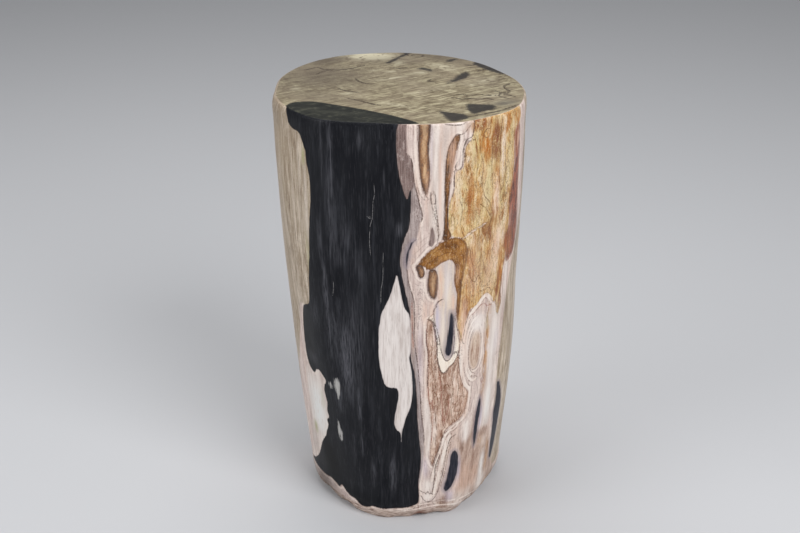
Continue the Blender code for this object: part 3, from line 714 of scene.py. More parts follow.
def traced_bearing(degrees, heights):
    """The bearing, on the trunk that the outlines were traced on, that looks the same from the front."""
    wider = np.zeros(len(degrees))
    for middle, half_width, level, half_height, share in TRACED_ON:
        across = np.clip((degrees - middle) / half_width, -1, 1)
        up = np.clip((heights - level) / half_height, -1, 1)
        wider += share * (1 - across**2) ** 2 * (1 - up**2) ** 2
    slant = np.tan(np.radians(np.clip(degrees, -TRACED_EDGE, TRACED_EDGE)))
    return degrees + np.degrees(wider * slant)


def to_wall(points):
    """An outline's own points in millimetres."""
    return [(degrees * MM_PER_DEGREE, height) for degrees, height in points]


class Surface:
    """The log's fine mesh as a grid of rings, with its seat and its underside."""

    def __init__(self, settings):
        self.settings = settings
        self.read_frame()
        self.lay_grid()

    def middle(self, heights):
        """The trunk's middle line: it follows the same flare as the wall."""
        share = np.sin(np.pi / 2 * np.clip(np.asarray(heights) / HEIGHT, 0, 1))[..., None]
        return (1 - share) * np.array(FOOT_MIDDLE) + share * np.array(SEAT_MIDDLE)

    def read_frame(self):
        """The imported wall's rings: their heights, and each one's radius at even bearings."""
        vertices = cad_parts[NODE].data.vertices
        places = np.empty(len(vertices) * 3, np.float32)
        vertices.foreach_get("co", places)
        places = places.reshape(-1, 3).astype(float)
        self.bearings = np.arange(BEARINGS) * 360 / BEARINGS - 180
        self.ring_heights, radii = [], []
        for level in np.unique(np.round(places[:, 2], 5)):
            ring = places[np.abs(places[:, 2] - level) < SAME_RING]
            out = ring[:, :2] - self.middle(level)
            radius = np.hypot(out[:, 0], out[:, 1])
            wall = radius > WALL_LEAST
            out, radius = out[wall], radius[wall]
            degrees = np.degrees(np.arctan2(out[:, 0], -out[:, 1]))
            order = np.argsort(degrees)
            degrees, radius = degrees[order], radius[order]
            self.ring_heights.append(level)
            radii.append(np.interp(self.bearings, degrees, radius, period=360))
        self.ring_radii = np.array(radii)
        self.ring_heights = np.array(self.ring_heights)

    def lay_grid(self):
        """Columns close together at the front, and rows close together at both ends."""
        step, back_step = self.settings.front_step, self.settings.back_step
        front = np.arange(-FRONT_REACH, FRONT_REACH, step)
        back_span = 360 - 2 * FRONT_REACH
        back = np.linspace(FRONT_REACH, FRONT_REACH + back_span, round(back_span / back_step), endpoint=False)
        self.columns = (np.concatenate([front, back]) + 180) % 360 - 180
        self.columns.sort()
        foot = np.linspace(0, FOOT_TOP, FOOT_ROWS)
        wall = np.linspace(FOOT_TOP, HEIGHT - SEAT_EDGE, self.settings.wall_rows)
        turn = np.linspace(0, np.pi / 2, EDGE_ROWS + 1)[1:]
        edge = HEIGHT - SEAT_EDGE * (1 - np.sin(turn))
        self.rows = np.concatenate([foot, wall[1:], edge])

    def wall_radii(self):
        """Radius of every row and column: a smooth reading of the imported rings, up and round."""
        smoothed = self.ring_radii
        for _ in range(2):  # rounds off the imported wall's facets
            smoothed = (np.roll(smoothed, 1, 1) + 2 * smoothed + np.roll(smoothed, -1, 1)) / 4
        around = np.stack([np.interp(self.columns, self.bearings, ring, period=360) for ring in smoothed])
        heights = self.ring_heights
        slopes = np.gradient(around, heights, axis=0)
        rows = np.clip(self.rows, heights[0], heights[-1])
        k = np.clip(np.searchsorted(heights, rows, side="right") - 1, 0, len(heights) - 2)
        span = (heights[k + 1] - heights[k])[:, None]
        t = ((rows - heights[k])[:, None]) / span
        curved = (
            around[k] * (2 * t**3 - 3 * t**2 + 1)
            + slopes[k] * span * (t**3 - 2 * t**2 + t)
            + around[k + 1] * (3 * t**2 - 2 * t**3)
            + slopes[k + 1] * span * (t**3 - t**2)
        )
        straight = around[k] * (1 - t) + around[k + 1] * t
        bevel = (rows < BEVEL_TOP) | (rows > HEIGHT - SEAT_EDGE)
        return np.where(bevel[:, None], straight, curved)

    def relief(self, radii):
        """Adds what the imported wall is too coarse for: broken stone, a worn rim and a faint unevenness."""
        rough = self.settings.foot_roughness
        rim_bearing, rim_half_width, rim_reach, rim_depth = WORN_RIM
        for row, height in enumerate(self.rows):
            bite = max(0.0, 1 - height / BREAK_TOP)
            for column, degrees in enumerate(self.columns):
                turn = math.radians(degrees)
                spot = Vector((math.sin(turn), -math.cos(turn), height * 8))
                radii[row, column] += UNEVENNESS * noise.noise(spot * 3.0)
                worn = max(0.0, 1 - ((degrees - rim_bearing) / rim_half_width) ** 2)
                worn *= max(0.0, 1 - (HEIGHT - height) / rim_reach) ** 2
                radii[row, column] -= rim_depth * worn
                if bite > 0 and height > 0:
                    broken = noise.fractal(spot * 14, 0.8, 2.0, 4)
                    radii[row, column] += rough * min(0.6, broken) * min(1.0, 1.6 * bite)
        return radii

    def build(self):
        """Every ring of points, from the middle of the underside out, up the wall and in over the seat."""
        radii = self.relief(self.wall_radii())
        turns = np.radians(self.columns)
        out = np.stack([np.sin(turns), -np.cos(turns)], 1)
        across = self.middle(self.rows)[:, None, :] + radii[:, :, None] * out[None]
        heights = np.broadcast_to(self.rows[:, None, None], (len(self.rows), len(turns), 1))
        wall = np.concatenate([across, heights], 2)
        seat = self.cap(wall[-1], HEIGHT, self.settings.seat_rings)
        foot = self.cap(wall[0], 0.0, self.settings.foot_rings)
        self.rings = np.concatenate([foot[::-1], wall, seat])
        self.foot_count, self.seat_count = len(foot), len(seat)
        return self.rings

    def cap(self, rim, height, count):
        """Rings from just inside the rim to the middle of a flat end."""
        middle = np.append(self.middle(height), height)
        shares = 1 - (np.arange(1, count + 1) / (count + 0.4))  # the last ring stays off the middle
        rings = middle + (rim - middle) * shares[:, None, None]
        rings[..., 2] = height
        return rings

    def mesh(self, name):
        """The rings joined by squares, and each end closed by triangles."""
        rings = self.build()
        count, wide = rings.shape[:2]
        top = np.append(self.middle(HEIGHT), HEIGHT)
        bottom = np.append(self.middle(0.0), 0.0)
        points = np.concatenate([rings.reshape(-1, 3), [bottom, top]])
        index = np.arange(count * wide).reshape(count, wide)
        low, high = index[:-1], index[1:]
        squares = np.stack([low, np.roll(low, -1, 1), np.roll(high, -1, 1), high], 2).reshape(-1, 4)
        first, last = index[0], index[-1]
        under = np.stack([np.full(wide, count * wide), np.roll(first, -1), first], 1)
        over = np.stack([last, np.roll(last, -1), np.full(wide, count * wide + 1)], 1)
        mesh = bpy.data.meshes.new(name)
        mesh.from_pydata(points.tolist(), [], squares.tolist() + under.tolist() + over.tolist())
        mesh.update()
        self.points = points
        return mesh


class Marks:
    """Each marking's value at every point of the surface."""

    def __init__(self, surface):
        points, ring_count = surface.points, len(surface.rings)
        row = np.append(np.repeat(np.arange(ring_count), len(surface.columns)), [0, ring_count - 1])
        self.on_seat = row >= ring_count - surface.seat_count - EDGE_ROWS // 2
        self.on_wall = ~self.on_seat
        out = points[:, :2] - surface.middle(points[:, 2])
        self.heights = points[:, 2] * MM
        self.degrees = traced_bearing(np.degrees(np.arctan2(out[:, 0], -out[:, 1])), self.heights)
        self.seat = (points[:, :2] - np.array(SEAT_MIDDLE)) * MM

    def filled(self, value):
        return np.full(len(self.heights), value)

    def wall_at(self, spots):
        """The side's points in millimetres, for a form whose own spots these are."""
        middle = np.mean([spot[0] for spot in spots])
        return wall_points(self.degrees[self.on_wall], self.heights[self.on_wall], middle)

    def area(self, name):
        """Millimetres inside the marking's outlines, negative outside them."""
        values = self.filled(-REACH)
        for outline in SIDE_SHAPES.get(name, ()):
            depth = inside_distance(self.wall_at(outline), to_wall(outline))
            values[self.on_wall] = np.maximum(values[self.on_wall], depth)
        for outline in SEAT_SHAPES.get(name, ()):
            depth = inside_distance(self.seat[self.on_seat], outline)
            values[self.on_seat] = np.maximum(values[self.on_seat], depth)
        return values

    def streak(self, name):
        """Soft upright streaks on the side and soft patches on the seat."""
        values = self.filled(0.0)
        for middle, top, bottom, half_width, strength in SIDE_STREAKS.get(name, ()):
            across = np.exp(-((((self.degrees - middle + 180) % 360 - 180) / half_width) ** 2))
            length = (top - bottom) / 2
            along = np.exp(-np.abs((self.heights - (top + bottom) / 2) / (length + 2)) ** 3)
            values = np.maximum(values, strength * across * along * self.on_wall)
        for x, y, half_length, half_width, angle, strength in SEAT_PATCHES.get(name, ()):
            turn = math.radians(angle)
            dx, dy = self.seat[:, 0] - x, self.seat[:, 1] - y
            along = (dx * math.cos(turn) + dy * math.sin(turn)) / half_length
            across = (dy * math.cos(turn) - dx * math.sin(turn)) / half_width
            values = np.maximum(values, strength * np.exp(-(along**2) - across**2) * self.on_seat)
        return values

    def to_lines(self, side_lines, seat_lines=()):
        """Distances to the nearest of these lines: one plain, and one with a sign for the two sides."""
        near, side = self.filled(REACH), self.filled(REACH)
        best, signed = near[self.on_wall], side[self.on_wall]
        for line in side_lines:
            line_distance(self.wall_at(line), to_wall(line), best, signed)
        near[self.on_wall], side[self.on_wall] = best, signed
        best, signed = near[self.on_seat], side[self.on_seat]
        for line in seat_lines:
            line_distance(self.seat[self.on_seat], line, best, signed)
        near[self.on_seat], side[self.on_seat] = best, signed
        return near, side

    def band(self, ribbons):
        """Millimetres inside bands that are drawn along their middles."""
        values = self.filled(-REACH)
        for half_width, line in ribbons:
            values = np.maximum(values, half_width - self.to_lines([line])[0])
        return values

    def fields(self):
        found = {name: self.area(name) for name in MARKS}
        found.update((name, self.streak(name)) for name in STREAKS)
        for name, lines in SIDE_LINES.items():
            near, side = self.to_lines(lines, SEAT_LINES if name == "vein" else ())
            found[name + "_near"], found[name + "_side"] = near, side
        found.update((name, self.band(ribbons)) for name, ribbons in SIDE_RIBBONS.items())
        found["shore"] = -np.max([found[name] for name in SHORE_OF], axis=0)
        found["seat"] = self.on_seat.astype(float)
        return found


class Value:
    """A socket that takes part in arithmetic: each operation adds a Math node."""

    def __init__(self, paint, socket):
        self.paint = paint
        self.socket = socket

    def math(self, operation, *others):
        return self.paint.node("ShaderNodeMath", {"operation": operation}, dict(enumerate((self, *others))))

    def __add__(self, other):
        return self.math("ADD", other)

    def __radd__(self, other):
        return self.math("ADD", other)

    def __mul__(self, other):
        return self.math("MULTIPLY", other)

    def __rmul__(self, other):
        return self.math("MULTIPLY", other)

    def __sub__(self, other):
        return self.math("SUBTRACT", other)

    def __rsub__(self, other):
        return self.paint.node("ShaderNodeMath", {"operation": "SUBTRACT"}, {0: other, 1: self})

    def __abs__(self):
        return self.math("ABSOLUTE")

    def output(self, index):
        """Another output of the same node."""
        return Value(self.paint, self.socket.node.outputs[index])


class Paint:
    """Makes the nodes of one material."""

    def __init__(self, name):
        self.material = bpy.data.materials.new(name)
        self.material.use_nodes = True
        self.tree = self.material.node_tree
        self.shader = self.tree.nodes["Principled BSDF"]
        self.place = self.node("ShaderNodeTexCoord", output="Object")

    def node(self, kind, settings=None, inputs=None, output=0):
        """One node: its settings are set first, then its sockets are given their values or links."""
        made = self.tree.nodes.new(kind)
        for name, value in (settings or {}).items():
            if name == "stops":
                self.set_stops(made.color_ramp, value)
            else:
                setattr(made, name, value)
        for name, value in (inputs or {}).items():
            self.feed(made.inputs[name], value)
        return Value(self, made.outputs[output])

    def feed(self, socket, value):
        if isinstance(value, Value):
            self.tree.links.new(value.socket, socket)
        elif socket.type == "RGBA":
            socket.default_value = (*colour(*value), 1.0)
        else:
            socket.default_value = value

    def set_stops(self, ramp, stops):
        while len(ramp.elements) < len(stops):
            ramp.elements.new(1.0)
        for element, (position, *shade) in zip(ramp.elements, stops):
            element.position = position
            element.color = (*colour(*shade), 1.0)

    def field(self, name):
        """A marking's value, from the mesh."""
        return self.node("ShaderNodeAttribute", {"attribute_name": name}, output="Fac")

    def between(self, value, low, high):
        """0 at low, 1 at high, with soft ends. It falls if low is the larger."""
        return self.node(
            "ShaderNodeMapRange",
            {"interpolation_type": "SMOOTHSTEP"},
            {"Value": value, "From Min": low, "From Max": high, "To Min": 0.0, "To Max": 1.0},
        )

    def mix(self, share, one, other):
        """One colour turning into the other as share goes from 0 to 1."""
        return self.node("ShaderNodeMix", {"data_type": "RGBA"}, {0: share, 6: one, 7: other}, output=2)

    def coats(self, base, *coats):
        """Colours laid over base one after another, each as (share, colour)."""
        for share, shade in coats:
            base = self.mix(share, base, shade)
        return base

    def ramp(self, value, *stops):
        """A colour for each value, from stops of (value, red, green, blue)."""
        return self.node("ShaderNodeValToRGB", {"stops": stops}, {"Fac": value})

    def vector(self, operation, *inputs, output=0):
        return self.node("ShaderNodeVectorMath", {"operation": operation}, dict(enumerate(inputs)), output)

    def moved(self, scale, offset, place=None):
        """A place stretched along each axis, then moved."""
        return self.vector("MULTIPLY_ADD", place or self.place, scale, offset)

    def noise(self, across, stretch, seed, detail=3.0, roughness=0.55, twist=0.0, place=None):
        """Noise about 0.5 with this many millimetres to a blotch, drawn out along the grain by stretch."""
        scale = MM / across
        vector = self.moved((scale, scale, scale / stretch), (seed * 7.3, seed * 3.1, seed * 5.7), place)
        return self.node(
            "ShaderNodeTexNoise",
            {"normalize": True},
            {"Vector": vector, "Scale": 1.0, "Detail": detail, "Roughness": roughness, "Distortion": twist},
        )


class StonePaint(Paint):
    """Petrified wood: each zone's colour, laid over the one before."""

    def __init__(self):
        super().__init__("petrified_wood_polished")
        self.fibre = self.noise(1.3, 16, 1, detail=4, roughness=0.6)
        self.thread = self.noise(0.7, 30, 2, detail=2)
        self.streak = self.noise(4.5, 14, 3, detail=4, roughness=0.6)
        self.drift = self.noise(22, 4, 4, detail=3)
        self.speck = self.noise(0.9, 2.2, 5, detail=2, roughness=0.7)
        self.waver = self.noise(5.5, 5, 6, detail=3) - 0.5
        self.fray = self.noise(1.6, 9, 7, detail=3) - 0.5
        self.blotch = self.noise(8, 1.8, 8, detail=4, roughness=0.65)
        self.grit = self.noise(1.2, 1.3, 9, detail=3, roughness=0.7)
        self.curl = self.curled(13, 0.009, 10)
        self.burl = self.noise(4.2, 4.0, 11, detail=6, roughness=0.7, place=self.curl)
        self.patch = self.noise(15, 1.8, 12, detail=3, place=self.curl)
        self.flame = self.noise(4.0, 7.0, 16, detail=4, roughness=0.55, place=self.curl)
        self.seat = self.field("seat")

    def curled(self, across, push, seed):
        """The place pushed about by up to half of push, so that what is drawn on it curls."""
        scale = MM / across
        vector = self.moved((scale, scale, scale / 1.6), (seed * 2.3, seed * 4.1, seed * 1.7))
        swirl = self.node("ShaderNodeTexNoise", {}, {"Vector": vector, "Scale": 1.0, "Detail": 2.0}, "Color")
        centred = self.vector("SUBTRACT", swirl, (0.5, 0.5, 0.5))
        return self.vector("MULTIPLY_ADD", centred, (push, push, push), self.place)

    def zone(self, name, soft, fray):
        """1 inside a marking and 0 outside, with an edge that the fibres make uneven."""
        return self.between(self.field(name) + self.fray * (fray * 2), -soft, soft)

    def depth(self, name, waver):
        """How far inside a marking, in millimetres, made uneven."""
        return self.field(name) + self.waver * waver

    def ring(self, value, at, width):
        """1 where value is at this distance, 0 beyond half the width either side."""
        return self.between(abs(value - at), width / 2, width / 6)

    def pale(self):
        """The pinkish white that most of the front is made of."""
        pinks = self.ramp(
            self.streak,
            (0.32, 182, 160, 152), (0.43, 206, 186, 178), (0.54, 220, 202, 193), (0.68, 234, 219, 209),
        )
        base = self.mix(self.between(self.drift, 0.50, 0.66) * 0.45, pinks, (222, 194, 176))
        base = self.coats(
            base,
            (self.between(self.blotch, 0.47, 0.36) * 0.6, (200, 182, 174)),
            (self.between(self.fibre, 0.50, 0.37) * 0.5, (168, 144, 136)),
            (self.between(self.burl, 0.58, 0.68) * 0.5, (244, 232, 222)),
        )
        shore = self.field("shore") + self.waver * 3.4
        glow = self.ring(shore, 2.4, 3.0) * 0.55
        base = self.mix(glow, base, (240, 226, 214))
        dotted = self.between(self.speck, 0.38, 0.56)
        patchy = self.between(self.blotch, 0.36, 0.58)
        for at, width, strength in ((0.5, 1.3, 0.75), (4.4, 1.2, 0.55), (8.3, 1.3, 0.45), (13.0, 1.6, 0.35)):
            line = self.ring(shore, at, width) * patchy * dotted * strength
            base = self.mix(line, base, (122, 94, 84))
        return base

    def beige(self):
        """The streaky sandy wood to the left and behind."""
        base = self.ramp(
            self.streak * 0.5 + self.fibre * 0.5,
            (0.38, 126, 106, 86), (0.45, 164, 146, 124), (0.53, 190, 174, 154), (0.62, 220, 206, 188),
        )
        base = self.coats(
            base,
            (self.between(self.drift, 0.42, 0.62) * 0.45, (162, 144, 120)),
            (self.between(self.thread, 0.57, 0.68) * 0.65, (112, 92, 72)),
            (self.between(self.speck, 0.58, 0.70) * 0.5, (122, 102, 84)),
        )
        # Pale streaks of the wood, and painted light on the right side where it turns away
        glow = self.field("glow") * self.between(self.fibre, 0.28, 0.50)
        return self.mix(glow, base, (214, 201, 187))

    def tan(self):
        """Flame-like brown and tan, darker round its edge."""
        base = self.ramp(
            self.streak * 0.45 + self.burl * 0.55,
            (0.36, 122, 88, 70), (0.43, 170, 134, 114), (0.50, 204, 174, 156), (0.57, 224, 200, 184),
            (0.67, 240, 222, 210),
        )
        brown = self.between(self.fibre, 0.50, 0.38) * self.between(self.drift, 0.38, 0.56)
        base = self.coats(
            base,
            (brown * 0.5, (140, 100, 74)),
            (self.ring(self.flame, 0.51, 0.06) * 0.55, (238, 216, 198)),
            (self.ring(self.flame, 0.445, 0.06) * 0.65, (118, 80, 58)),
        )
        border = self.ring(self.depth("tan", 1.4), 0.8, 1.8) * self.between(self.speck, 0.34, 0.52)
        return self.mix(border * 0.8, base, (118, 82, 66))

    def gold(self):
        """Yellow, gold and brown agate, curled and cracked."""
        wide = self.noise(6.0, 6.5, 15, detail=5, roughness=0.62, place=self.curl)
        base = self.ramp(
            wide * 0.5 + self.burl * 0.22 + self.fibre * 0.28,
            (0.33, 128, 84, 42), (0.41, 176, 124, 66), (0.46, 202, 154, 94), (0.51, 216, 184, 128),
            (0.56, 230, 204, 164), (0.61, 208, 164, 106), (0.70, 186, 134, 80),
        )
        base = self.coats(
            base,
            (self.between(self.patch, 0.50, 0.62) * 0.4, (206, 188, 134)),
            (self.between(self.burl, 0.45, 0.34) * 0.7, (128, 86, 48)),
            (self.between(self.burl, 0.57, 0.66) * 0.6, (236, 216, 184)),
        )
        rough = self.between(self.burl, 0.38, 0.54)
        base = self.coats(
            base,
            (self.field("cream") * rough, (234, 214, 192)),
            (self.field("olive") * rough * 0.7, (208, 194, 140)),
            (self.field("orange") * self.between(self.burl, 0.64, 0.46) * 0.95, (180, 108, 40)),
            (self.field("rust") * self.between(self.burl, 0.66, 0.46) * 0.95, (128, 74, 50)),
        )
        fine = self.noise(1.8, 8.5, 13, detail=5, roughness=0.65, place=self.curl)
        line = self.ring(fine, 0.48, 0.06) * self.between(self.blotch, 0.42, 0.56)
        return self.coats(
            base,
            (line * 0.75, (110, 74, 44)),
            (self.between(self.grit, 0.59, 0.69) * 0.55, (112, 74, 42)),
        )

    def sand(self):
        """Soft pinkish grey and tan."""
        return self.ramp(
            self.streak * 0.5 + self.burl * 0.5,
            (0.37, 130, 100, 86), (0.46, 164, 136, 121), (0.55, 190, 164, 149), (0.66, 222, 200, 184),
        )

    def amber(self):
        """The hook: deep amber, darker towards its edge."""
        grain = self.noise(9.0, 1.4, 14, detail=5, roughness=0.52, place=self.curl)
        base = self.ramp(
            grain * 0.7 + self.fibre * 0.3,
            (0.38, 98, 59, 28), (0.47, 132, 86, 38), (0.54, 150, 101, 49), (0.62, 174, 127, 70),
            (0.71, 204, 165, 110),
        )
        return self.coats(
            base,
            (self.ring(self.flame, 0.50, 0.05) * 0.35, (202, 166, 116)),
            (self.between(self.depth("hook", 2.4), 3.0, 0.2) * 0.65, (96, 62, 40)),
            (self.between(self.grit, 0.58, 0.68) * 0.4, (92, 62, 40)),
        )

    def umber(self):
        """Speckled brown spindles with a dark rim and a golden middle."""
        base = self.ramp(
            self.depth("umber", 1.6) * 0.05 + self.grit * 0.4 + self.burl * 0.4,
            (0.40, 62, 44, 36), (0.48, 104, 74, 56), (0.55, 152, 112, 80), (0.65, 208, 172, 134),
        )
        rim = self.between(self.depth("umber", 1.2), 2.0, 0.4)
        return self.mix(rim * 0.65, base, (96, 76, 68))

    def band(self):
        base = self.ramp(
            self.burl * 0.6 + self.fibre * 0.4,
            (0.40, 62, 41, 25), (0.48, 102, 67, 38), (0.56, 142, 96, 57), (0.66, 200, 155, 104),
        )
        rim = self.between(self.depth("band", 1.6), 1.9, 0.3) * self.between(self.speck, 0.34, 0.52)
        return self.mix(rim * 0.8, base, (72, 50, 36))

    def nest(self):
        """The tan heart of a nest of bands, as on a map."""
        depth = self.depth("nest", 2.4)
        base = self.ramp(
            self.burl * 0.6 + self.streak * 0.4,
            (0.38, 160, 128, 110), (0.50, 198, 172, 154), (0.62, 216, 196, 178),
        )
        base = self.mix(self.between(depth, 3.0, 0.4) * 0.6, base, (226, 210, 198))
        for at, width, strength in ((0.2, 1.1, 0.7), (3.4, 0.9, 0.5), (6.6, 0.9, 0.35)):
            line = self.ring(depth, at, width) * self.between(self.speck, 0.36, 0.54) * strength
            base = self.mix(line, base, (134, 108, 94))
        return base

    def grey(self, dark, light):
        """Mottled grey wood beside the black."""
        base = self.mix(self.between(self.grit * 0.5 + self.fibre * 0.5, 0.40, 0.60), dark, light)
        return self.coats(
            base,
            (self.between(self.blotch, 0.54, 0.66) * 0.35, (212, 196, 190)),
            (self.between(self.grit, 0.56, 0.66) * 0.5, (94, 80, 80)),
        )

    def black(self):
        """The heart: nearly black, with grey smoke and hair-thin pale cracks."""
        base = self.mix(self.between(self.drift, 0.38, 0.66), (18, 19, 24), (27, 28, 32))
        base = self.coats(
            base,
            (self.between(self.streak, 0.50, 0.68) * 0.55, (48, 49, 54)),
            (self.between(self.thread, 0.56, 0.70) * 0.3, (72, 72, 77)),
            (self.between(self.fibre, 0.56, 0.68) * 0.2, (62, 63, 68)),
            # painted shade: the black made darker still where that field is set
            (self.field("soot"), (9, 10, 11)),
        )
        smoke = self.field("smoke") * self.between(self.fibre, 0.30, 0.66)
        base = self.mix(smoke, base, (92, 92, 98))
        crack = self.line("crack", 0.9, 1.0) * self.between(self.speck, 0.34, 0.56)
        base = self.mix(crack * 0.6, base, (142, 140, 140))
        edge = self.ring(self.depth("black", 0.5), 0.4, 1.4)
        return self.mix(edge * 0.35, base, (66, 54, 52))

    def island(self):
        base = self.ramp(
            self.streak * 0.6 + self.fibre * 0.4,
            (0.38, 198, 186, 180), (0.50, 219, 210, 205), (0.62, 231, 223, 218),
        )
        base = self.mix(self.between(self.fibre, 0.48, 0.34) * 0.3, base, (180, 168, 162))
        rim = self.between(self.depth("island", 1.0), 1.6, 0.2)
        return self.coats(
            base,
            (rim * 0.4, (178, 166, 166)),
            (self.between(self.thread, 0.62, 0.70) * 0.5, (140, 128, 120)),
        )

    def foot_stone(self):
        """The unpolished edge at the foot, with the layers that the breaks lay bare."""
        layers = self.noise(8.0, 0.15, 21, detail=4, roughness=0.6)
        base = self.ramp(
            layers,
            (0.34, 122, 96, 86), (0.43, 164, 142, 130), (0.53, 198, 178, 166), (0.66, 226, 210, 198),
        )
        return self.mix(self.field("rust") * 0.9, base, (104, 58, 40))

    def seat_place(self):
        """Coordinates that run out from the pith and round it, for streaks along the growth rings."""
        pith = (PITH[0] / MM + SEAT_MIDDLE[0], PITH[1] / MM + SEAT_MIDDLE[1], HEIGHT)
        flat = self.vector("MULTIPLY", self.vector("SUBTRACT", self.place, pith), (1.0, 1.0, 0.0))
        out = self.vector("LENGTH", flat, output="Value")
        unit = self.vector("NORMALIZE", flat)
        bearing = self.vector("MULTIPLY", unit, (RING_CIRCLE, RING_CIRCLE, 0.0))
        parts = self.node("ShaderNodeSeparateXYZ", {}, {0: bearing})
        return self.node("ShaderNodeCombineXYZ", {}, {"X": parts, "Y": parts.output(1), "Z": out})

    def seat_top(self):
        """Sawn across the grain: olive and sand, mottled, with slanting pale flecks."""
        rings = self.noise(6.0, 0.25, 31, detail=5, roughness=0.62, twist=0.6, place=self.seat_place())
        turned = {"Vector": self.place, "Angle": FLECK_ANGLE}
        slant = self.node("ShaderNodeVectorRotate", {"rotation_type": "Z_AXIS"}, turned)
        slant = self.vector("MULTIPLY", slant, FLECK_STRETCH)
        flecks = self.noise(2.4, 1.0, 32, detail=4, roughness=0.55, place=slant)
        sawn = self.noise(5.5, 1.0, 36, detail=4, roughness=0.6, place=slant)
        mottle = self.noise(9.0, 1.0, 33, detail=6, roughness=0.62, twist=0.8)
        base = self.ramp(
            rings * 0.22 + mottle * 0.38 + sawn * 0.40,
            (0.39, 92, 81, 62), (0.46, 122, 110, 88), (0.51, 142, 131, 107), (0.56, 160, 150, 123),
            (0.63, 190, 180, 150),
        )
        wide = self.noise(60, 1.0, 35, detail=2)
        base = self.mix(self.between(wide, 0.42, 0.62) * 0.5, base, (142, 129, 110))
        lively = 0.15 + self.field("gleam") * 0.85
        base = self.coats(
            base,
            (self.between(flecks, 0.53, 0.64) * lively * 0.75, (196, 187, 156)),
            (self.between(flecks, 0.46, 0.36) * lively * 0.6, (98, 85, 64)),
            (self.between(self.grit, 0.56, 0.68) * lively * 0.3, (96, 84, 64)),
            (self.field("cream") * self.between(mottle, 0.34, 0.52), (214, 206, 178)),
            (self.field("rust") * self.between(mottle, 0.66, 0.46) * 0.8, (80, 65, 46)),
            (self.field("smoke") * 0.7, (92, 90, 84)),
            # painted shade: the seat darkened where that field is set
            (self.field("dusk") * 0.75, (92, 82, 71)),
        )
        vein = self.line("vein", 4.2, 6.0, 4.2) * self.between(self.grit, 0.34, 0.52)
        vein = vein * self.between(mottle, 0.28, 0.48)
        base = self.mix(vein * 0.9, base, (56, 45, 38))
        lens = self.between(self.field("lens") + self.waver * 6.0 + (self.grit - 0.5) * 7.0, -3.0, 2.2)
        base = self.mix(lens * 0.92, base, (40, 37, 38))
        black = self.between(self.field("black") + self.fray * 2.0 + (self.grit - 0.5) * 3.0, -0.9, 1.2)
        dark = self.ramp(
            mottle * 0.5 + rings * 0.2 + sawn * 0.3,
            (0.38, 20, 21, 18), (0.52, 36, 37, 32), (0.64, 74, 74, 62),
        )
        dark = self.mix(self.field("smoke") * 0.5, dark, (84, 84, 72))
        return self.mix(black, base, dark)

    def line(self, name, width, waver, reach=2.1):
        """1 along these lines. The second distance, which has no sign, ends each one at its own end."""
        signed = self.field(name + "_side") + self.waver * waver
        return self.ring(signed, 0.0, width) * self.between(self.field(name + "_near"), reach, reach * 0.6)

    def ribbon(self, base):
        """Pale bands with a thin brown line down both sides."""
        field = self.field("ribbon") + self.waver * 2.2
        pale = self.mix(self.between(self.streak, 0.38, 0.60), (226, 206, 194), (240, 228, 218))
        base = self.mix(self.between(field, -0.4, 0.6) * 0.8, base, pale)
        line = self.ring(field, -0.35, 1.6) * self.between(self.speck, 0.40, 0.58)
        line = line * (0.35 + self.between(self.blotch, 0.42, 0.58) * 0.65)
        return self.mix(line * 0.8, base, (122, 92, 76))

    def light_side(self):
        """The colours of the side, all but the black and what lies in it."""
        base = self.pale()
        base = self.mix(self.zone("beige", 1.8, 2.4), base, self.beige())
        clean = self.mix(self.between(self.streak, 0.38, 0.62), (204, 188, 179), (228, 216, 208))
        base = self.coats(
            base,
            (self.zone("white", 2.4, 1.6) * 0.85, clean),
            (self.zone("ash", 0.9, 1.2) * 0.9, self.grey((126, 111, 109), (177, 163, 160))),
            (self.zone("sand", 4.0, 4.0), self.sand()),
            (self.zone("tan", 0.8, 1.2), self.tan()),
            (self.field("rust") * self.between(self.burl, 0.62, 0.42) * 0.75, (128, 88, 68)),
            (self.field("orange") * self.between(self.burl, 0.62, 0.42) * 0.85, (192, 142, 88)),
            (self.zone("gold", 0.7, 1.8), self.gold()),
        )
        red = self.mix(self.between(self.burl, 0.40, 0.60), (84, 30, 16), (152, 76, 46))
        red = self.mix(self.field("orange") * self.between(self.fibre, 0.36, 0.54), red, (158, 100, 56))
        base = self.coats(
            base,
            (self.zone("red", 3.2, 4.0) * 0.9, red),
            (self.zone("nest", 0.5, 0.8), self.nest()),
        )
        cream = self.mix(self.between(self.fibre, 0.34, 0.52), (222, 200, 180), (242, 230, 216))
        base = self.mix(self.zone("vee", 0.4, 0.7), base, cream)
        vee_line = self.ring(self.depth("vee", 0.8), 0.0, 1.5) * self.between(self.speck, 0.32, 0.50)
        base = self.mix(vee_line * 0.8, base, (106, 78, 60))
        base = self.ribbon(base)
        base = self.coats(
            base,
            (self.zone("band", 0.6, 1.4), self.band()),
            (self.zone("hook", 0.7, 2.4), self.amber()),
            (self.zone("umber", 0.5, 1.2), self.umber()),
        )
        tongue = self.mix(self.between(self.streak, 0.38, 0.60), (200, 186, 182), (222, 204, 186))
        base = self.mix(self.zone("tongue", 0.4, 0.5), base, tongue)
        wedge = self.grey((100, 80, 76), (152, 132, 126))
        return self.mix(self.zone("wedge", 0.6, 1.0), base, wedge)

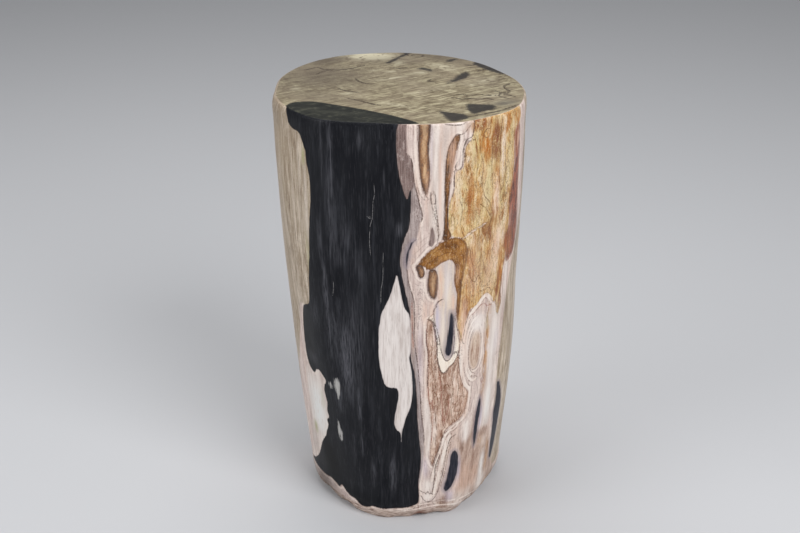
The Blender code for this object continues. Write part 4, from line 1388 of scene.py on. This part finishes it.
    def side_colour(self):
        base = self.light_side()
        base = self.coats(
            base,
            (self.between(self.grit, 0.56, 0.67) * 0.22, (112, 88, 76)),
            (self.between(self.grit, 0.44, 0.33) * 0.22, (248, 240, 230)),
            (self.field("blush") * self.between(self.fibre, 0.30, 0.52), (224, 186, 164)),
            (self.field("lilac") * 0.6, (196, 190, 214)),
            (self.field("pearl") * self.between(self.fibre, 0.26, 0.50), (238, 228, 220)),
            (self.field("frost") * self.between(self.fibre, 0.26, 0.50), (230, 229, 226)),
        )
        uneven = self.between(self.blotch, 0.40, 0.56)
        seam = self.line("seam", 1.4, 3.0) * self.between(self.speck, 0.34, 0.52) * (0.4 + uneven * 0.6)
        base = self.mix(seam * 0.8, base, (106, 68, 42))
        rouge = self.line("rouge", 1.7, 1.6) * self.between(self.speck, 0.36, 0.54)
        base = self.mix(rouge * 0.65, base, (146, 86, 72))
        vein = self.line("vein", 1.8, 1.5) * self.between(self.speck, 0.32, 0.54) * (0.6 + uneven * 0.4)
        base = self.mix(vein * 0.9, base, (78, 59, 51))
        dots = self.field("dots") * self.between(self.grit, 0.52, 0.60)
        base = self.coats(
            base,
            (dots * 0.8, (92, 74, 68)),
            (self.field("lime") * 0.75, (160, 158, 104)),
            # painted shade: the side darkened where that field is set
            (self.field("dusk") * 0.75, (74, 64, 58)),
        )
        lens = self.field("lens") + self.fray * 3.0
        base = self.mix(self.between(lens, -5.0, -0.6) * 0.5, base, (140, 130, 140))
        ink = self.mix(self.between(self.fibre, 0.36, 0.64), (29, 32, 42), (56, 55, 64))
        base = self.coats(
            base,
            (self.between(lens, -0.8, 0.8), ink),
            (self.zone("black", 0.35, 1.0), self.black()),
        )
        smudge = self.between(self.field("smudge") + self.fray * 7.0, -0.8, 1.6)
        return self.coats(
            base,
            (smudge * self.between(self.fibre, 0.30, 0.48), (178, 176, 173)),
            (self.zone("island", 0.4, 0.9), self.island()),
        )

    def height(self):
        """Millimetres up, from the object's own place."""
        return self.node("ShaderNodeSeparateXYZ", {}, {0: self.place}).output(2) * MM

    def foot_share(self):
        """1 on the rough edge of the foot. The black keeps its own lower edge, and sound stone runs lower."""
        edge = self.height() + self.waver * 4.0 + self.field("sound") * 10.0
        return self.between(edge, 15.0, 11.0) * self.between(self.field("black"), 0.6, -0.6)

    def finish(self):
        foot = self.foot_share()
        # The foot's broken stone is darkened by painted shade where that field is set.
        stone = self.mix(self.field("dusk") * 0.7, self.foot_stone(), (70, 60, 54))
        wall = self.mix(foot, self.side_colour(), stone)
        self.feed(self.shader.inputs["Base Color"], self.mix(self.seat, wall, self.seat_top()))
        polish = 0.32 + self.blotch * 0.16
        rough = polish + foot * 0.38 + self.between(self.height(), 1.0, 0.2) * 0.2
        self.feed(self.shader.inputs["Roughness"], rough)
        self.shader.inputs["Specular IOR Level"].default_value = 0.12
        grain = self.fibre * 0.5 + self.thread * 0.3
        pits = self.between(self.speck, 0.66, 0.74) * -0.6
        broken = self.noise(3.4, 0.5, 41, detail=4, roughness=0.6) * foot * 4.5
        vein = self.line("vein", 1.0, 0.9) * -0.6
        relief = grain + pits + broken + vein
        bump = self.node("ShaderNodeBump", {}, {"Strength": 0.35, "Distance": 0.00012, "Height": relief})
        self.feed(self.shader.inputs["Normal"], bump)
        return self.material


class STOOL_PG_log(bpy.types.PropertyGroup):
    front_step: FloatProperty(
        name="Front Step", description="Degrees between the columns of the log's face", default=0.5, min=0.3
    )
    back_step: FloatProperty(
        name="Back Step", description="Degrees between the columns round the back", default=2.0, min=0.5
    )
    wall_rows: IntProperty(name="Wall Rows", description="Rings up the side", default=176, min=20)
    seat_rings: IntProperty(name="Seat Rings", description="Rings from the rim in", default=44, min=8)
    foot_rings: IntProperty(name="Foot Rings", description="Rings across the underside", default=5, min=2)
    foot_roughness: FloatProperty(
        name="Foot Roughness", description="How far the broken edge of the foot goes in and out",
        default=0.0011, unit="LENGTH",
    )


class STOOL_PG_stage(bpy.types.PropertyGroup):
    floor_colour: FloatVectorProperty(
        name="Floor Colour", description="Colour of the studio floor", subtype="COLOR",
        default=colour(196, 197, 200),
    )
    floor_size: FloatProperty(
        name="Floor Size", description="Width of the floor", default=14.0, unit="LENGTH"
    )
    key_power: FloatProperty(
        name="Key Light", description="Power of the light to the front right", default=43.0, unit="POWER"
    )
    fill_power: FloatProperty(
        name="Fill Light", description="Power of the light to the left", default=20.0, unit="POWER"
    )
    top_power: FloatProperty(
        name="Top Light", description="Power of the light overhead", default=18.0, unit="POWER"
    )
    sky_strength: FloatProperty(name="Sky Light", description="Strength of the even light", default=0.29)
    eye: FloatVectorProperty(
        name="Camera Place", description="Where the camera stands", subtype="TRANSLATION", unit="LENGTH",
        default=(0.00029, -1.36929, 0.86),
    )
    pitch: FloatProperty(
        name="Camera Pitch", description="How far the camera looks down", subtype="ANGLE",
        default=math.radians(24.1),
    )
    lens: FloatProperty(name="Lens", description="Focal length in millimetres", default=62.5)


class STOOL_OT_log(bpy.types.Operator):
    """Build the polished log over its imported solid"""

    bl_idname = "stool.build_log"
    bl_label = "Build Log"

    def execute(self, context):
        settings = context.scene.stool_log
        surface = Surface(settings)
        mesh = surface.mesh("log_surface")
        for name, values in Marks(surface).fields().items():
            layer = mesh.attributes.new(name, "FLOAT", "POINT")
            layer.data.foreach_set("value", np.asarray(values, np.float32))
        unwrap(mesh, surface)
        mesh.materials.append(StonePaint().finish())
        mesh.shade_smooth()
        log = bpy.data.objects.new("log_surface", mesh)
        context.scene.collection.objects.link(log)
        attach(log, "root")
        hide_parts(NODE)
        return {"FINISHED"}


def unwrap(mesh, surface):
    """The side as one strip, and the seat and the underside as discs above it."""
    wide, ring_count = len(surface.columns), len(surface.rings)
    vertex = np.empty(len(mesh.loops), np.int32)
    mesh.loops.foreach_get("vertex_index", vertex)
    totals = np.empty(len(mesh.polygons), np.int32)
    mesh.polygons.foreach_get("loop_total", totals)
    face_of = np.repeat(np.arange(len(totals)), totals)
    low_ring = np.full(len(totals), ring_count)
    np.minimum.at(low_ring, face_of, np.minimum(vertex // wide, ring_count - 1))
    column = vertex % wide
    across = (surface.columns[column] + 180) / 360
    closing = np.zeros(len(totals), bool)
    np.logical_or.at(closing, face_of, column == wide - 1)
    across = np.where(closing[face_of] & (column == 0), across + 1, across)
    points = surface.points[vertex]
    strip = np.stack([across, points[:, 2] / HEIGHT], 1) * STRIP_SIZE + STRIP_EDGE
    disc = points[:, :2] * DISC_SCALE
    on_seat = low_ring[face_of] >= ring_count - surface.seat_count - 1
    under = low_ring[face_of] < surface.foot_count
    uv = np.where(on_seat[:, None], disc + SEAT_DISC, strip)
    uv = np.where(under[:, None], disc + FOOT_DISC, uv)
    layer = mesh.uv_layers.new(name="OFBake")
    layer.uv.foreach_set("vector", uv.astype(np.float32).ravel())


class STOOL_OT_stage(bpy.types.Operator):
    """Lay the floor, hang the soft lights and set the camera"""

    bl_idname = "stool.build_stage"
    bl_label = "Build Stage"

    def execute(self, context):
        settings = context.scene.stool_stage
        self.lay_floor(context, settings)
        for name, place, size, power in LIGHTS:
            self.add_light(context, name, place, size, getattr(settings, power))
        world = bpy.data.worlds.new("studio")
        world.use_nodes = True
        sky = world.node_tree.nodes["Background"]
        sky.inputs["Color"].default_value = (0.97, 0.98, 1.0, 1.0)
        sky.inputs["Strength"].default_value = settings.sky_strength
        context.scene.world = world
        context.scene.view_settings.view_transform = "Standard"
        self.set_camera(context, settings)
        return {"FINISHED"}

    def lay_floor(self, context, settings):
        half = settings.floor_size / 2
        mesh = bpy.data.meshes.new("studio_floor")
        corners = [(-half, -half, 0), (half, -half, 0), (half, half, 0), (-half, half, 0)]
        mesh.from_pydata(corners, [], [(0, 1, 2, 3)])
        material = bpy.data.materials.new("studio_floor")
        material.use_nodes = True
        shader = material.node_tree.nodes["Principled BSDF"]
        shader.inputs["Base Color"].default_value = (*settings.floor_colour, 1.0)
        shader.inputs["Roughness"].default_value = 0.9
        mesh.materials.append(material)
        floor = bpy.data.objects.new("studio_floor", mesh)
        context.scene.collection.objects.link(floor)

    def add_light(self, context, name, place, size, power):
        lamp = bpy.data.lights.new(name, "AREA")
        lamp.shape = "DISK"
        lamp.size = size
        lamp.energy = power
        light = bpy.data.objects.new(name, lamp)
        light.location = place
        aim = Vector((0, 0, HEIGHT / 2)) - Vector(place)
        light.rotation_euler = aim.to_track_quat("-Z", "Y").to_euler()
        context.scene.collection.objects.link(light)

    def set_camera(self, context, settings):
        data = bpy.data.cameras.new("camera")
        data.lens = settings.lens
        data.sensor_width = 36.0
        camera = bpy.data.objects.new("camera", data)
        camera.location = settings.eye
        camera.rotation_euler = (math.pi / 2 - settings.pitch, 0, 0)
        context.scene.collection.objects.link(camera)
        context.scene.camera = camera


class STOOL_PT_panel(bpy.types.Panel):
    """Settings and buttons for the stool"""

    bl_idname = "STOOL_PT_panel"
    bl_label = "Petrified Wood Stool"
    bl_space_type = "VIEW_3D"
    bl_region_type = "UI"
    bl_category = "Stool"

    def draw(self, context):
        for group, button in (("stool_log", STOOL_OT_log), ("stool_stage", STOOL_OT_stage)):
            settings = getattr(context.scene, group)
            column = self.layout.column()
            for name in settings.__annotations__:
                column.prop(settings, name)
            column.operator(button.bl_idname)


CLASSES = (STOOL_PG_log, STOOL_PG_stage, STOOL_OT_log, STOOL_OT_stage, STOOL_PT_panel)


def register():
    for made in CLASSES:
        bpy.utils.register_class(made)
    bpy.types.Scene.stool_log = PointerProperty(type=STOOL_PG_log)
    bpy.types.Scene.stool_stage = PointerProperty(type=STOOL_PG_stage)


def unregister():
    del bpy.types.Scene.stool_stage
    del bpy.types.Scene.stool_log
    for made in reversed(CLASSES):
        bpy.utils.unregister_class(made)


def main():
    register()
    bpy.ops.stool.build_log()
    bpy.ops.stool.build_stage()


if __name__ == "__main__":
    main()
